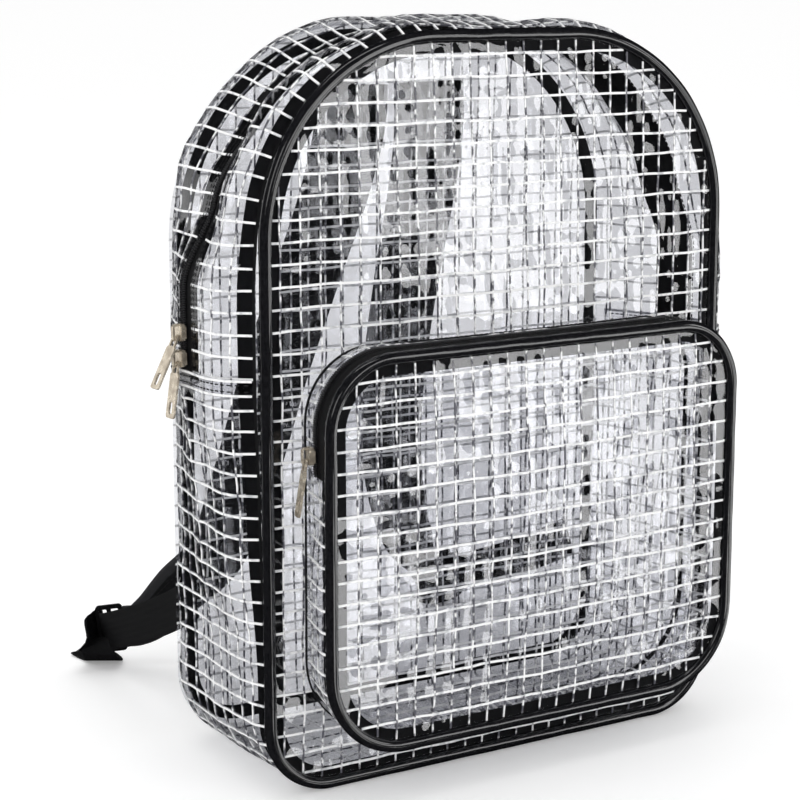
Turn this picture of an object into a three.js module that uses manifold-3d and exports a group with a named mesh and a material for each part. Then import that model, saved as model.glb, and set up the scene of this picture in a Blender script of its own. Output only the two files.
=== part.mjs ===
// A clear backpack that stands by itself: netted film panels, black piping, a long zip over the top,
// a zipped pocket on the front and two padded shoulder straps behind.
// Millimetres, +Z up. The front faces -Y, and the origin is the middle of the flat bottom.

import * as THREE from 'three';
import Module from 'manifold-3d';

const wasm = await Module();
wasm.setup();

// Driving dimensions of the bag
const bagWidth = 312;
const bagHeight = 422;
const bagDepth = 116;
const topCornerRadius = 111;
const backCornerRadius = 124;
const bottomCornerRadius = 42;
const backRise = 4;
const filmWall = 1.2;
const panelCrown = 8;
const pipingDiameter = 7;
const sideInset = 2;
const frontTuck = 1.5;
const backTuck = 3;
const tuckReach = 14;
const bindingWidth = 8;
const bindingThickness = 2.4;
const sideSeamHeight = 234;
const sideSeamWidth = 10;

// Driving dimensions of the front pocket
const pocketWidth = 279;
const pocketHeight = 225;
const pocketDepth = 40;
const pocketBottom = 30;
const pocketTopRadius = 42;
const pocketBottomRadius = 50;
const pocketCrown = 6;
const pocketFlare = 9;
const pocketEndFlare = 3;
const pocketTuck = 2;
const pocketZipDrop = 67;
const pocketTapeSink = 0.2;
const pocketCoilInset = 0.5;

// Driving dimensions of the zips and their pulls
const tapeWidth = 30;
const pocketTapeWidth = 17;
const tapeThickness = 0.8;
const coilWidth = 5;
const coilHeight = 1.8;
const zipSlotFront = 10;
const sliderLength = 9.5;
const sliderWidth = 8;
const sliderPlate = 2.6;
const bailWidth = 2;
const bailThickness = 1.2;
const pullLength = 31;
const pullWidth = 8;
const pullThickness = 1.2;
const pullCorner = 1.6;
const pullWindowLength = 7;
const pullWindowWidth = 3;
const pullWindowMargin = 2.2;
const pullWindowCorner = 1.2;
const eyeLength = 5;
const eyeWidth = 3.2;
const eyeCorner = 0.5;
const sliderCorner = 2;
const flangeLength = 6.65;

// Driving dimensions of the straps
const strapWidth = 48;
const strapEndWidth = 27;
const strapThickness = 7;
const strapBulge = 1.15;
const strapEdge = 0.4;
const webbingWidth = 25;
const webbingThickness = 1.4;
const webbingAnchorHeight = 83;
const webbingAnchorInset = 18;
const anchorLift = 5;
const freeEndTurn = 31.6;
const adjusterLength = 18;
const adjusterWall = 2.6;
const adjusterRoom = 0.8;
const adjusterThickness = 3;

// Clearances
const seamGap = 0.3;
const seamLift = 0.6;
const swingGap = 0.35;

// How the gusset's film rises to the zip's line on either side: powers of the way, and the swell's height
const ridgeFront = 0.6;
const ridgeBack = 1.15;
const swellGain = 1.7;

// How far the gusset stands out round the bag, as shares of the bag's depth.
// round: share of the way from the bottom's middle (0) to the top's middle (1)
// zip: the line of the zip; front and back: the extra swell of the film on either side of it
const gussetSections = [
  { round: 0.0, zip: 0.0, front: 0.0, back: 0.0 },
  { round: 0.2, zip: 0.0, front: 0.0, back: 0.0 },
  { round: 0.3, zip: 0.03, front: 0.02, back: 0.02 },
  { round: 0.45, zip: 0.11, front: 0.05, back: 0.0 },
  { round: 0.56, zip: 0.17, front: 0.07, back: 0.0 },
  { round: 0.63, zip: 0.17, front: 0.07, back: 0.0 },
  { round: 0.7, zip: 0.01, front: 0.1, back: 0.03 },
  { round: 0.78, zip: -0.06, front: 0.12, back: 0.05 },
  { round: 0.88, zip: -0.05, front: 0.08, back: 0.05 },
  { round: 1.0, zip: 0.01, front: 0.03, back: 0.03 },
];

// The shoulder strap's middle line, from its sewn top to its lower end.
// side and up: shares of the bag's width and height; back: share of the bag's depth behind the back panel
// wide: share of the way from the end width (0) to the full width (1)
// turn: which way the width lies, from across the bag (0) to upright (1)
const strapSections = [
  { side: 0.087, back: 0.0, up: 0.915, wide: 1.0, turn: 0.0 },
  { side: 0.09, back: 0.0, up: 0.86, wide: 1.0, turn: 0.0 },
  { side: 0.1, back: 0.1, up: 0.765, wide: 1.0, turn: 0.0 },
  { side: 0.12, back: 0.33, up: 0.625, wide: 1.0, turn: 0.03 },
  { side: 0.145, back: 0.57, up: 0.475, wide: 1.0, turn: 0.1 },
  { side: 0.18, back: 0.77, up: 0.305, wide: 0.9, turn: 0.25 },
  { side: 0.235, back: 0.88, up: 0.18, wide: 0.65, turn: 0.5 },
  { side: 0.295, back: 0.99, up: 0.128, wide: 0.4, turn: 0.8 },
  { side: 0.34, back: 1.1, up: 0.082, wide: 0.15, turn: 0.95 },
  { side: 0.367, back: 1.16, up: 0.065, wide: 0.0, turn: 1.0 },
  { side: 0.391, back: 1.2, up: 0.0625, wide: 0.0, turn: 1.0 },
];

// The webbing from the bag's lower back corner towards the adjuster.
// way: share of the straight way to the adjuster; sag: share of the webbing's width
const leadSections = [
  { way: 0.0, sag: 0.0 },
  { way: 0.33, sag: 0.12 },
  { way: 0.67, sag: 0.12 },
];

// The webbing's way through the adjuster's far slot and round its far bar, as shares of its length.
// along: from the strap's end outward; ahead: towards the bag
const wrapSections = [
  { along: 0.775, ahead: 0.35 },
  { along: 0.765, ahead: 0.1 },
  { along: 0.77, ahead: -0.06 },
  { along: 0.8, ahead: -0.16 },
  { along: 0.928, ahead: -0.2 },
  { along: 1.06, ahead: -0.15 },
  { along: 1.1, ahead: 0.0 },
  { along: 1.14, ahead: 0.2 },
  { along: 1.22, ahead: 0.45 },
];

// The webbing's free end, from the adjuster down to its tip on the floor.
// side and up: shares of the bag's width and height; back: share of the bag's depth behind its back edge
// level: which way the width lies, from in line with the adjuster (0) to level (1)
const freeSections = [
  { side: 0.472, back: 1.235, up: 0.053, level: 0.2 },
  { side: 0.46, back: 1.222, up: 0.032, level: 0.65 },
  { side: 0.434, back: 1.297, up: 0.0095, level: 1.0 },
  { side: 0.422, back: 1.383, up: 0.0036, level: 1.0 },
  { side: 0.428, back: 1.569, up: 0.0036, level: 1.0 },
];

// Sliders and how their pulls hang.
// rise: from the zip's lower end up to the slider's middle; lean: degrees that the pull stands off the zip
const sliderPlaces = {
  mainUpper: { rise: 25.5, lean: 28 },
  mainLower: { rise: 11, lean: 9 },
  pocket: { rise: 12, lean: 9 },
};

// How finely the faceted walls follow the bag: steps on the half floor, low arc, side, high arc and half top
const bagSteps = [2, 4, 4, 6, 2];
const lowerSteps = [2, 4, 6, 6, 2];
const upperSteps = [2, 4, 8, 9, 3];
const pocketSteps = [2, 3, 3, 3, 2];
const pocketUpperSteps = [2, 3, 5, 5, 3];
const shortestStep = 5.4;
const pipingSides = 6;
const panelRings = [0.25, 0.5, 0.72, 0.88, 1];
const strapSteps = 24;
const webbingStepsPerRow = 3;

// Materials
const film = new THREE.MeshStandardMaterial({
  color: 0xe8ecf0, roughness: 0.12, metalness: 0, transparent: true, opacity: 0.35,
});
const blackPiping = new THREE.MeshStandardMaterial({ color: 0x0b0b0d, roughness: 0.25, metalness: 0 });
const blackTape = new THREE.MeshStandardMaterial({ color: 0x141416, roughness: 0.8, metalness: 0 });
const blackCoil = new THREE.MeshStandardMaterial({ color: 0x17171a, roughness: 0.45, metalness: 0 });
const blackFabric = new THREE.MeshStandardMaterial({ color: 0x101012, roughness: 0.85, metalness: 0 });
const blackPlastic = new THREE.MeshStandardMaterial({ color: 0x0e0e10, roughness: 0.4, metalness: 0 });
const paleGold = new THREE.MeshStandardMaterial({ color: 0xc9ad84, roughness: 0.25, metalness: 1 });

const bag = new THREE.Group();

/** Adds one named piece to the bag. */
function addPiece(name, geometry, material) {
  const mesh = new THREE.Mesh(geometry, material);
  mesh.name = name;
  bag.add(mesh);
  return mesh;
}

/** Six times the signed volume under a triangle list, to tell which way its faces point. */
function signedVolume(points, faces) {
  const normal = new THREE.Vector3();
  return faces.reduce(
    (sum, [a, b, c]) => sum + points[a].dot(normal.crossVectors(points[b], points[c])),
    0,
  );
}

/** A geometry from points and triangles, with its faces turned outward. */
function solidGeometry(points, faces) {
  const outward = signedVolume(points, faces) > 0;
  const index = faces.flatMap(([a, b, c]) => (outward ? [a, b, c] : [a, c, b]));
  const geometry = new THREE.BufferGeometry().setFromPoints(points);
  geometry.setIndex(index);
  geometry.computeVertexNormals();
  return geometry;
}

/**
 * A closed solid through a row of closed loops with equal point counts.
 * The two halves of a loop get mirrored diagonals, so that a wall's two faces stay parallel.
 * ring joins the last loop to the first; otherwise each end is closed by zipping the loop's two halves,
 * or, where tips are given, by a fan to each tip.
 */
function loftLoops(loops, { ring = false, tips = null } = {}) {
  const count = loops[0].length;
  const points = loops.flat();
  const faces = [];
  const spans = ring ? loops.length : loops.length - 1;
  for (let row = 0; row < spans; row += 1) {
    const here = row * count;
    const next = ((row + 1) % loops.length) * count;
    for (let i = 0; i < count; i += 1) {
      const j = (i + 1) % count;
      const [a, b, c, d] = [here + i, here + j, next + j, next + i];
      faces.push(...(i < count / 2 ? [[a, b, c], [a, c, d]] : [[a, b, d], [b, c, d]]));
    }
  }
  if (tips) {
    const last = (loops.length - 1) * count;
    const first = points.push(tips[0]) - 1;
    const final = points.push(tips[1]) - 1;
    for (let i = 0; i < count; i += 1) {
      const j = (i + 1) % count;
      faces.push([i, first, j], [last + j, final, last + i]);
    }
  } else if (!ring) {
    closeEnd(faces, 0, count, false);
    closeEnd(faces, (loops.length - 1) * count, count, true);
  }
  return solidGeometry(points, faces);
}

/** Zips the two halves of an end loop together. */
function closeEnd(faces, start, count, flip) {
  for (let i = 0; i < count / 2 - 1; i += 1) {
    const [a, b] = [start + i, start + i + 1];
    const [c, d] = [start + count - 2 - i, start + count - 1 - i];
    const pair = [[a, c, b], [a, d, c]];
    pair.forEach(([p, q, r]) => faces.push(flip ? [p, r, q] : [p, q, r]));
  }
}

/** The row of a table at a place, with the columns eased between neighbouring rows. */
function tableAt(table, key, place) {
  const next = Math.max(1, table.findIndex((row) => row[key] >= place));
  const [low, high] = [table[next - 1], table[next]];
  const share = THREE.MathUtils.smoothstep(place, low[key], high[key]);
  return Object.fromEntries(
    Object.keys(low).map((column) => [column, THREE.MathUtils.lerp(low[column], high[column], share)]),
  );
}

/**
 * A rounded outline in the XZ plane, walked by arc length from the bottom's middle towards +X.
 * Shares below 0 or above 1 carry on round it.
 */
class RoundedOutline {
  constructor({ width, height, topRadius, bottomRadius, base = 0 }) {
    Object.assign(this, { width, height, topRadius, bottomRadius, base });
    this.lengths = [
      width / 2 - bottomRadius,
      (bottomRadius * Math.PI) / 2,
      height - bottomRadius - topRadius,
      (topRadius * Math.PI) / 2,
      width / 2 - topRadius,
    ];
    this.half = this.lengths.reduce((sum, length) => sum + length, 0);
  }

  /** The same outline moved inward all round. */
  inset(by) {
    return new RoundedOutline({
      width: this.width - 2 * by,
      height: this.height - 2 * by,
      topRadius: this.topRadius - by,
      bottomRadius: this.bottomRadius - by,
      base: this.base + by,
    });
  }

  /** Place and outward direction at a share of the way round. */
  at(share) {
    const turn = share - Math.floor(share);
    const mirrored = turn > 0.5;
    let way = (mirrored ? 1 - turn : turn) * 2 * this.half;
    const [floor, lowArc, side, highArc] = this.lengths;
    const halfWidth = this.width / 2;
    const low = { x: halfWidth - this.bottomRadius, z: this.base + this.bottomRadius };
    const high = { x: halfWidth - this.topRadius, z: this.base + this.height - this.topRadius };
    let place;
    if (way <= floor) {
      place = { x: way, z: this.base, nx: 0, nz: -1 };
    } else if (way <= floor + lowArc) {
      place = this.onArc(low, this.bottomRadius, (way - floor) / this.bottomRadius - Math.PI / 2);
    } else if (way <= floor + lowArc + side) {
      place = { x: halfWidth, z: low.z + way - floor - lowArc, nx: 1, nz: 0 };
    } else if (way <= floor + lowArc + side + highArc) {
      place = this.onArc(high, this.topRadius, (way - floor - lowArc - side) / this.topRadius);
    } else {
      way -= floor + lowArc + side + highArc;
      place = { x: high.x - way, z: this.base + this.height, nx: 0, nz: 1 };
    }
    return mirrored ? { ...place, x: -place.x, nx: -place.nx } : place;
  }

  onArc(centre, radius, angle) {
    const [nx, nz] = [Math.cos(angle), Math.sin(angle)];
    return { x: centre.x + radius * nx, z: centre.z + radius * nz, nx, nz };
  }

  /** The share at a height on the straight right side. */
  shareAtHeight(height) {
    const [floor, lowArc] = this.lengths;
    return (floor + lowArc + height - this.base - this.bottomRadius) / (2 * this.half);
  }

  /** Shares at even steps along each straight and arc of the whole outline. */
  stations(steps) {
    const half = [0];
    let start = 0;
    this.lengths.forEach((length, part) => {
      for (let step = 1; step <= steps[part]; step += 1) {
        half.push((start + (length * step) / steps[part]) / (2 * this.half));
      }
      start += length;
    });
    const back = half.slice(1, -1).reverse().map((share) => 1 - share);
    return [...half, ...back];
  }

  /** The stations from one share to another, with both ends. */
  stationsBetween(from, to, steps) {
    const all = this.stations(steps);
    const round = [...all.map((share) => share - 1), ...all, ...all.map((share) => share + 1)];
    const clear = shortestStep / (2 * this.half);
    return [from, ...round.filter((share) => share > from + clear && share < to - clear), to];
  }
}

const bagOutline = new RoundedOutline({
  width: bagWidth, height: bagHeight, topRadius: topCornerRadius, bottomRadius: bottomCornerRadius,
});
const backOutline = new RoundedOutline({
  width: bagWidth, height: bagHeight, topRadius: backCornerRadius, bottomRadius: bottomCornerRadius,
});
const bagPipingLine = bagOutline.inset(pipingDiameter / 2);
const pocketOutline = new RoundedOutline({
  width: pocketWidth,
  height: pocketHeight,
  topRadius: pocketTopRadius,
  bottomRadius: pocketBottomRadius,
  base: pocketBottom,
});
const pocketPipingLine = pocketOutline.inset(pipingDiameter / 2);

// Shares of the depth where the pieces round the gusset start and end
const frontEdge = (pipingDiameter / 2 + seamGap) / bagDepth;
const backEdge = 1 - (filmWall + seamGap) / bagDepth;
const tapeFront = 0.5 - tapeWidth / 2 / bagDepth;
const slotFront = 0.5 - zipSlotFront / bagDepth;
const coilFront = 0.5 - coilWidth / 2 / bagDepth;
const coilBack = 0.5 + coilWidth / 2 / bagDepth;
const slotBack = coilBack + 1 / bagDepth;
const tapeBack = 0.5 + tapeWidth / 2 / bagDepth;

// Shares of the depth where the gusset's wall has its steps, in front of the tape and behind it
const frontAcross = [frontEdge, 0.09, 0.18, tapeFront];
const farAcross = [0.88, 0.95];

/** How high the back of the bag stands over the front at a place. */
function riseAt(depthShare, height) {
  return backRise * depthShare * Math.max(0, height / bagHeight) ** 3;
}

/** Place and outward direction between the front and the back outline. */
function outlinePoint(share, depthShare) {
  const [front, back] = [bagOutline.at(share), backOutline.at(share)];
  const blend = (key) => THREE.MathUtils.lerp(front[key], back[key], depthShare);
  return { x: blend('x'), z: blend('z'), nx: blend('nx'), nz: blend('nz') };
}

/** How far the gusset stands out from the outline. */
function gussetSwell(round, depthShare) {
  const section = tableAt(gussetSections, 'round', round);
  const inFront = depthShare < slotBack;
  const way = inFront ? depthShare / slotBack : (1 - depthShare) / (1 - slotBack);
  const ridge = way ** (inFront ? ridgeFront : ridgeBack);
  const swell = swellGain * Math.sin(way * Math.PI) * (1 - way) * (inFront ? section.front : section.back);
  return (section.zip * ridge + swell) * bagDepth;
}

/** A point of the gusset's outer face. */
function gussetPoint(share, depthShare) {
  const place = outlinePoint(share, depthShare);
  const turn = share - Math.floor(share);
  const round = 2 * Math.min(turn, 1 - turn);
  const fromFront = THREE.MathUtils.smoothstep(depthShare * bagDepth, pipingDiameter / 2, tuckReach);
  const fromBack = THREE.MathUtils.smoothstep((1 - depthShare) * bagDepth, 0, tuckReach);
  const tuck = frontTuck * (1 - fromFront) + backTuck * (1 - fromBack);
  const fromFloor = 1 + Math.min(0, place.nz);
  const out = (gussetSwell(round, depthShare) - sideInset) * fromFloor - tuck;
  return new THREE.Vector3(
    place.x + place.nx * out,
    (depthShare - 0.5) * bagDepth,
    place.z + place.nz * out + riseAt(depthShare, place.z),
  );
}

/** The outward direction of a surface of two shares at a place. */
function surfaceNormal(surface, share, across) {
  const step = 0.001;
  const along = surface(share + step, across).sub(surface(share - step, across));
  const over = surface(share, across + step).sub(surface(share, across - step));
  return over.cross(along).normalize();
}

/** A point at a distance outward from a surface. */
function pointOff(surface, share, across, out) {
  return surface(share, across).addScaledVector(surfaceNormal(surface, share, across), out);
}

/** A thin wall on a surface: outer and inner are distances outward from it. */
function wallOn(surface, shares, acrosses, outer, inner, ring = false) {
  const loops = shares.map((share) => [
    ...acrosses.map((across) => pointOff(surface, share, across, outer)),
    ...[...acrosses].reverse().map((across) => pointOff(surface, share, across, inner)),
  ]);
  return loftLoops(loops, { ring });
}

/** Evenly spaced values. */
function spread(from, to, count) {
  return Array.from({ length: count + 1 }, (_, step) => THREE.MathUtils.lerp(from, to, step / count));
}

/** A closed tube round an outline that stands at a given depth. */
function pipingLoop(line, steps, pointAt) {
  const loops = line.stations(steps).map((share) => {
    const place = line.at(share);
    const centre = pointAt(place);
    return Array.from({ length: pipingSides }, (_, side) => {
      const angle = ((side + 0.5) / pipingSides) * 2 * Math.PI;
      const out = (Math.cos(angle) * pipingDiameter) / 2;
      return new THREE.Vector3(
        centre.x + place.nx * out,
        centre.y + (Math.sin(angle) * pipingDiameter) / 2,
        centre.z + place.nz * out,
      );
    });
  });
  return loftLoops(loops, { ring: true });
}

/** A crowned sheet inside an outline, with a middle point on each face. */
function crownedPanel(line, steps, pointAt, outward) {
  const middle = { x: 0, z: line.base + line.height / 2 };
  const stations = line.stations(steps);
  const ringAt = (reach, off) => stations.map((share) => {
    const place = line.at(share);
    const x = middle.x + (place.x - middle.x) * reach;
    const z = middle.z + (place.z - middle.z) * reach;
    return pointAt(x, z, off);
  });
  const outer = panelRings.map((reach) => ringAt(reach, 0));
  const inner = [...panelRings].reverse().map((reach) => ringAt(reach, -outward * filmWall));
  const tips = [pointAt(middle.x, middle.z, 0), pointAt(middle.x, middle.z, -outward * filmWall)];
  return loftLoops([...outer, ...inner], { tips });
}

/** Share of the crown at a place inside a width and height: 1 in the middle, 0 at the edges. */
function crownShare(x, z, width, base, height) {
  const across = (2 * x) / width;
  const up = (2 * (z - base - height / 2)) / height;
  return Math.max(0, 1 - across ** 2) * Math.max(0, 1 - up ** 2);
}

/** Depth of the front panel's outer face. */
function frontFace(x, z) {
  return -bagDepth / 2 - panelCrown * crownShare(x, z, bagWidth, 0, bagHeight);
}

/** Depth of the back panel's outer face. */
function backFace(x, z) {
  return bagDepth / 2 + (panelCrown / 2) * crownShare(x, z, bagWidth, 0, bagHeight);
}

// Panels and piping of the bag
const panelLine = bagPipingLine.inset(pipingDiameter / 2 + seamGap);
const backLine = backOutline.inset(backTuck);
const onFront = (x, z, off) => new THREE.Vector3(x, frontFace(x, z) + off, z);
const onBack = (x, z, off) => new THREE.Vector3(x, backFace(x, z) + off, z + riseAt(1, z));
addPiece('front_panel', crownedPanel(panelLine, bagSteps, onFront, -1), film);
addPiece('back_panel', crownedPanel(backLine, bagSteps, onBack, 1), film);
addPiece(
  'front_piping',
  pipingLoop(bagPipingLine, bagSteps, (place) => new THREE.Vector3(place.x, -bagDepth / 2, place.z)),
  blackPiping,
);

/** The bound seam allowance inside the back edge: a flat ring that stands inward from the gusset. */
function bindingLoop() {
  const reach = backTuck + filmWall + 2 * seamGap + sideInset;
  const front = bagDepth / 2 - filmWall - 2 * seamGap - bindingThickness;
  const corners = [[0, 0], [0, bindingThickness], [-bindingWidth, bindingThickness], [-bindingWidth, 0]];
  const loops = backOutline.stations(bagSteps).map((share) => {
    const place = backOutline.at(share);
    return corners.map(([out, back]) => {
      const off = out - reach;
      const [x, z] = [place.x + place.nx * off, place.z + place.nz * off];
      return new THREE.Vector3(x, front + back, z + riseAt(1, z));
    });
  });
  return loftLoops(loops, { ring: true });
}

addPiece('back_binding', bindingLoop(), blackTape);

// Gusset: a lower strip round the bottom, and a front and a back strip either side of the zip
const seamShare = bagOutline.shareAtHeight(sideSeamHeight);
const joinShare = seamGap / (2 * bagOutline.half) / 2;
const lowerShares = bagOutline.stationsBetween(-seamShare + joinShare, seamShare - joinShare, lowerSteps);
const upperShares = bagOutline.stationsBetween(seamShare + joinShare, 1 - seamShare - joinShare, upperSteps);
const seamAcross = [...frontAcross, slotBack, tapeBack, ...farAcross];
const lowerAcross = [...seamAcross, backEdge];
const upperFrontAcross = [...frontAcross, slotFront];
const upperBackAcross = [slotBack, tapeBack, 0.75, ...farAcross, backEdge];
addPiece('lower_gusset', wallOn(gussetPoint, lowerShares, lowerAcross, 0, -filmWall), film);
addPiece('upper_gusset_front', wallOn(gussetPoint, upperShares, upperFrontAcross, 0, -filmWall), film);
addPiece('upper_gusset_back', wallOn(gussetPoint, upperShares, upperBackAcross, 0, -filmWall), film);

/** The overlapped strip over the join between the lower gusset and the upper ones. */
function addSideSeam(name, share) {
  const reach = sideSeamWidth / 2 / (2 * bagOutline.half);
  const shares = [share - reach, share, share + reach];
  addPiece(name, wallOn(gussetPoint, shares, seamAcross, seamLift + filmWall, seamLift), film);
}

addSideSeam('side_seam_right', seamShare);
addSideSeam('side_seam_left', 1 - seamShare);

// Main zip: a tape under the film's edges, and the coil in the slot between them
const tapeTop = -filmWall - seamGap;
const tapeAcross = [tapeFront, slotFront, coilFront, 0.5, coilBack, slotBack, tapeBack];
const tapeInner = tapeTop - tapeThickness;
addPiece('main_zip_tape', wallOn(gussetPoint, upperShares, tapeAcross, tapeTop, tapeInner), blackTape);

const coilStart = seamShare + (sideSeamWidth / 2 + seamGap) / (2 * bagOutline.half);
const coilShares = bagOutline.stationsBetween(coilStart, 1 - coilStart, upperSteps);
const coilBase = tapeTop + seamGap;
const coilTop = coilBase + coilHeight;
const coilAcross = [coilFront, 0.5, coilBack];
addPiece('main_zip_coil', wallOn(gussetPoint, coilShares, coilAcross, coilTop, coilBase), blackCoil);

// Pocket
const pocketFace = -bagDepth / 2 - pocketDepth;

/** A point of the pocket gusset's outer face, from the front panel (0) to the pocket's piping (1). */
function pocketPoint(share, outShare) {
  const place = pocketOutline.at(share);
  const flare = THREE.MathUtils.lerp(pocketEndFlare, pocketFlare, Math.abs(place.nx));
  const settle = flare * (1 - outShare) + pocketTuck * THREE.MathUtils.smoothstep(outShare, 0.75, 1);
  const x = place.x - place.nx * settle;
  const z = place.z - place.nz * settle;
  return new THREE.Vector3(x, THREE.MathUtils.lerp(frontFace(x, z), pocketFace, outShare), z);
}

const pocketBase = (2 * seamGap + (filmWall * pocketFlare) / pocketDepth) / pocketDepth;
const pocketEdge = 1 - (pipingDiameter / 2 + 2 * seamGap) / pocketDepth;
const pocketTapeShare = (pocketTapeWidth - 1) / pocketDepth;
const pocketSlotBase = pocketEdge - pocketTapeShare;
const pocketZipEnd = pocketBottom + pocketHeight - pocketZipDrop;
const pocketJoin = seamGap / (2 * pocketOutline.half) / 2;
const lowerEnd = pocketOutline.shareAtHeight(pocketZipEnd) - pocketJoin;
const upperStart = lowerEnd + 2 * pocketJoin;
const pocketLowerShares = pocketOutline.stationsBetween(-lowerEnd, lowerEnd, pocketSteps);
const pocketUpperShares = pocketOutline.stationsBetween(upperStart, 1 - upperStart, pocketUpperSteps);
const outwardPocket = (share, outShare) => pocketPoint(share, 1 - outShare);

/** A wall on the pocket's gusset between two shares of its depth. */
function pocketWall(shares, from, to, count, outer, inner) {
  return wallOn(outwardPocket, shares, spread(1 - to, 1 - from, count), outer, inner);
}

/** A point of the pocket panel, at a distance behind its outer face. */
function onPocket(x, z, off) {
  const crown = pocketCrown * crownShare(x, z, pocketWidth, pocketBottom, pocketHeight);
  return new THREE.Vector3(x, pocketFace - crown + off, z);
}

const pocketPanelLine = pocketPipingLine.inset(pipingDiameter / 2 + seamGap);
addPiece('pocket_panel', crownedPanel(pocketPanelLine, pocketSteps, onPocket, -1), film);
addPiece(
  'pocket_piping',
  pipingLoop(pocketPipingLine, pocketSteps, (place) => new THREE.Vector3(place.x, pocketFace, place.z)),
  blackPiping,
);
addPiece('pocket_gusset_lower', pocketWall(pocketLowerShares, pocketBase, pocketEdge, 4, 0, -filmWall), film);
addPiece(
  'pocket_gusset_upper',
  pocketWall(pocketUpperShares, pocketBase, pocketSlotBase, 2, 0, -filmWall),
  film,
);
const pocketTapeBase = pocketSlotBase + seamGap / pocketDepth;
const pocketTapeInner = -pocketTapeSink - tapeThickness;
addPiece(
  'pocket_zip_tape',
  pocketWall(pocketUpperShares, pocketTapeBase, pocketEdge, 2, -pocketTapeSink, pocketTapeInner),
  blackTape,
);
const pocketCoilBase = seamGap - pocketTapeSink;
const pocketCoilTop = pocketCoilBase + coilHeight;
const pocketCoilStart = pocketTapeBase + pocketCoilInset / pocketDepth;
const pocketCoilEnd = pocketCoilStart + coilWidth / pocketDepth;
addPiece(
  'pocket_zip_coil',
  pocketWall(pocketUpperShares, pocketCoilStart, pocketCoilEnd, 2, pocketCoilTop, pocketCoilBase),
  blackCoil,
);

// Sliders and pulls. Each is made with x along the zip (towards the pull), y across it and z outward.

/** A three.js geometry as a solid that can be joined or cut. */
function toSolid(geometry) {
  const position = geometry.getAttribute('position');
  const keys = new Map();
  const vertices = [];
  const corners = [];
  for (let i = 0; i < position.count; i += 1) {
    const point = [position.getX(i), position.getY(i), position.getZ(i)];
    const key = point.map((value) => Math.round(value * 1e4)).join(' ');
    if (!keys.has(key)) {
      keys.set(key, keys.size);
      vertices.push(...point);
    }
    corners.push(keys.get(key));
  }
  const order = geometry.index ? [...geometry.index.array].map((i) => corners[i]) : corners;
  return new wasm.Manifold(new wasm.Mesh({
    numProp: 3,
    vertProperties: Float32Array.from(vertices),
    triVerts: Uint32Array.from(order),
  }));
}

/** A joined or cut solid as a three.js geometry. */
function fromSolid(solid) {
  const mesh = solid.getMesh();
  const geometry = new THREE.BufferGeometry();
  geometry.setAttribute('position', new THREE.BufferAttribute(mesh.vertProperties, 3));
  geometry.setIndex(new THREE.BufferAttribute(mesh.triVerts, 1));
  geometry.computeVertexNormals();
  return geometry;
}

/** A plate with a rounded outline, from a base height upward. */
function plate(shape, base, thickness) {
  return new THREE.ExtrudeGeometry(shape, { depth: thickness, bevelEnabled: false, curveSegments: 2 })
    .translate(0, 0, base);
}

/** A rounded rectangle between two lengths, with its middle on the x axis. */
function roundedBar(from, to, width, radius) {
  const half = width / 2;
  const shape = new THREE.Shape();
  shape.moveTo(from + radius, -half);
  shape.lineTo(to - radius, -half);
  shape.absarc(to - radius, -half + radius, radius, -Math.PI / 2, 0, false);
  shape.lineTo(to, half - radius);
  shape.absarc(to - radius, half - radius, radius, 0, Math.PI / 2, false);
  shape.lineTo(from + radius, half);
  shape.absarc(from + radius, half - radius, radius, Math.PI / 2, Math.PI, false);
  shape.lineTo(from, -half + radius);
  shape.absarc(from + radius, -half + radius, radius, Math.PI, 1.5 * Math.PI, false);
  return shape;
}

const pinReach = Math.hypot(pullThickness / 2, pullThickness / 2);
const bailRoom = 2 * (pinReach + swingGap);
const pivotAlong = sliderLength / 2 - bailThickness - pinReach - swingGap;
const sliderSeat = coilTop + seamGap;
const pivotHeight = sliderSeat + sliderPlate + bailRoom / 2;

/** A slider: a rounded plate over the coil, two flanges beside it and a bail on top. */
function sliderGeometry() {
  const top = sliderSeat + sliderPlate;
  const outline = roundedBar(-sliderLength / 2, sliderLength / 2, sliderWidth, sliderCorner);
  const body = toSolid(plate(outline, sliderSeat, sliderPlate));
  const flangeWidth = (sliderWidth - coilWidth) / 2 - seamGap;
  const flangeDrop = sliderSeat - seamGap;
  const flangeMiddle = sliderSeat + (sliderPlate / 2 - flangeDrop) / 2;
  const flanges = [1, -1].map((sideSign) => toSolid(
    new THREE.BoxGeometry(flangeLength, flangeWidth, sliderPlate / 2 + flangeDrop)
      .translate(0, (sideSign * (sliderWidth - flangeWidth)) / 2, flangeMiddle),
  ));
  const bailShape = new THREE.Shape();
  const reach = sliderLength / 2;
  const roof = bailRoom + bailThickness;
  bailShape.moveTo(-reach, -sliderPlate / 2);
  bailShape.lineTo(reach, -sliderPlate / 2);
  bailShape.lineTo(reach, roof - bailThickness);
  bailShape.lineTo(reach - bailThickness, roof);
  bailShape.lineTo(-reach + bailThickness, roof);
  bailShape.lineTo(-reach, roof - bailThickness);
  const window = new THREE.Path();
  window.moveTo(-reach + bailThickness, 0);
  window.lineTo(-reach + bailThickness, bailRoom);
  window.lineTo(reach - bailThickness, bailRoom);
  window.lineTo(reach - bailThickness, 0);
  bailShape.holes.push(window);
  const bail = toSolid(
    new THREE.ExtrudeGeometry(bailShape, { depth: bailWidth, bevelEnabled: false })
      .translate(0, 0, -bailWidth / 2)
      .rotateX(Math.PI / 2)
      .translate(0, 0, top),
  );
  return fromSolid(flanges.reduce((solid, flange) => solid.add(flange), body.add(bail)));
}

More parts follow.
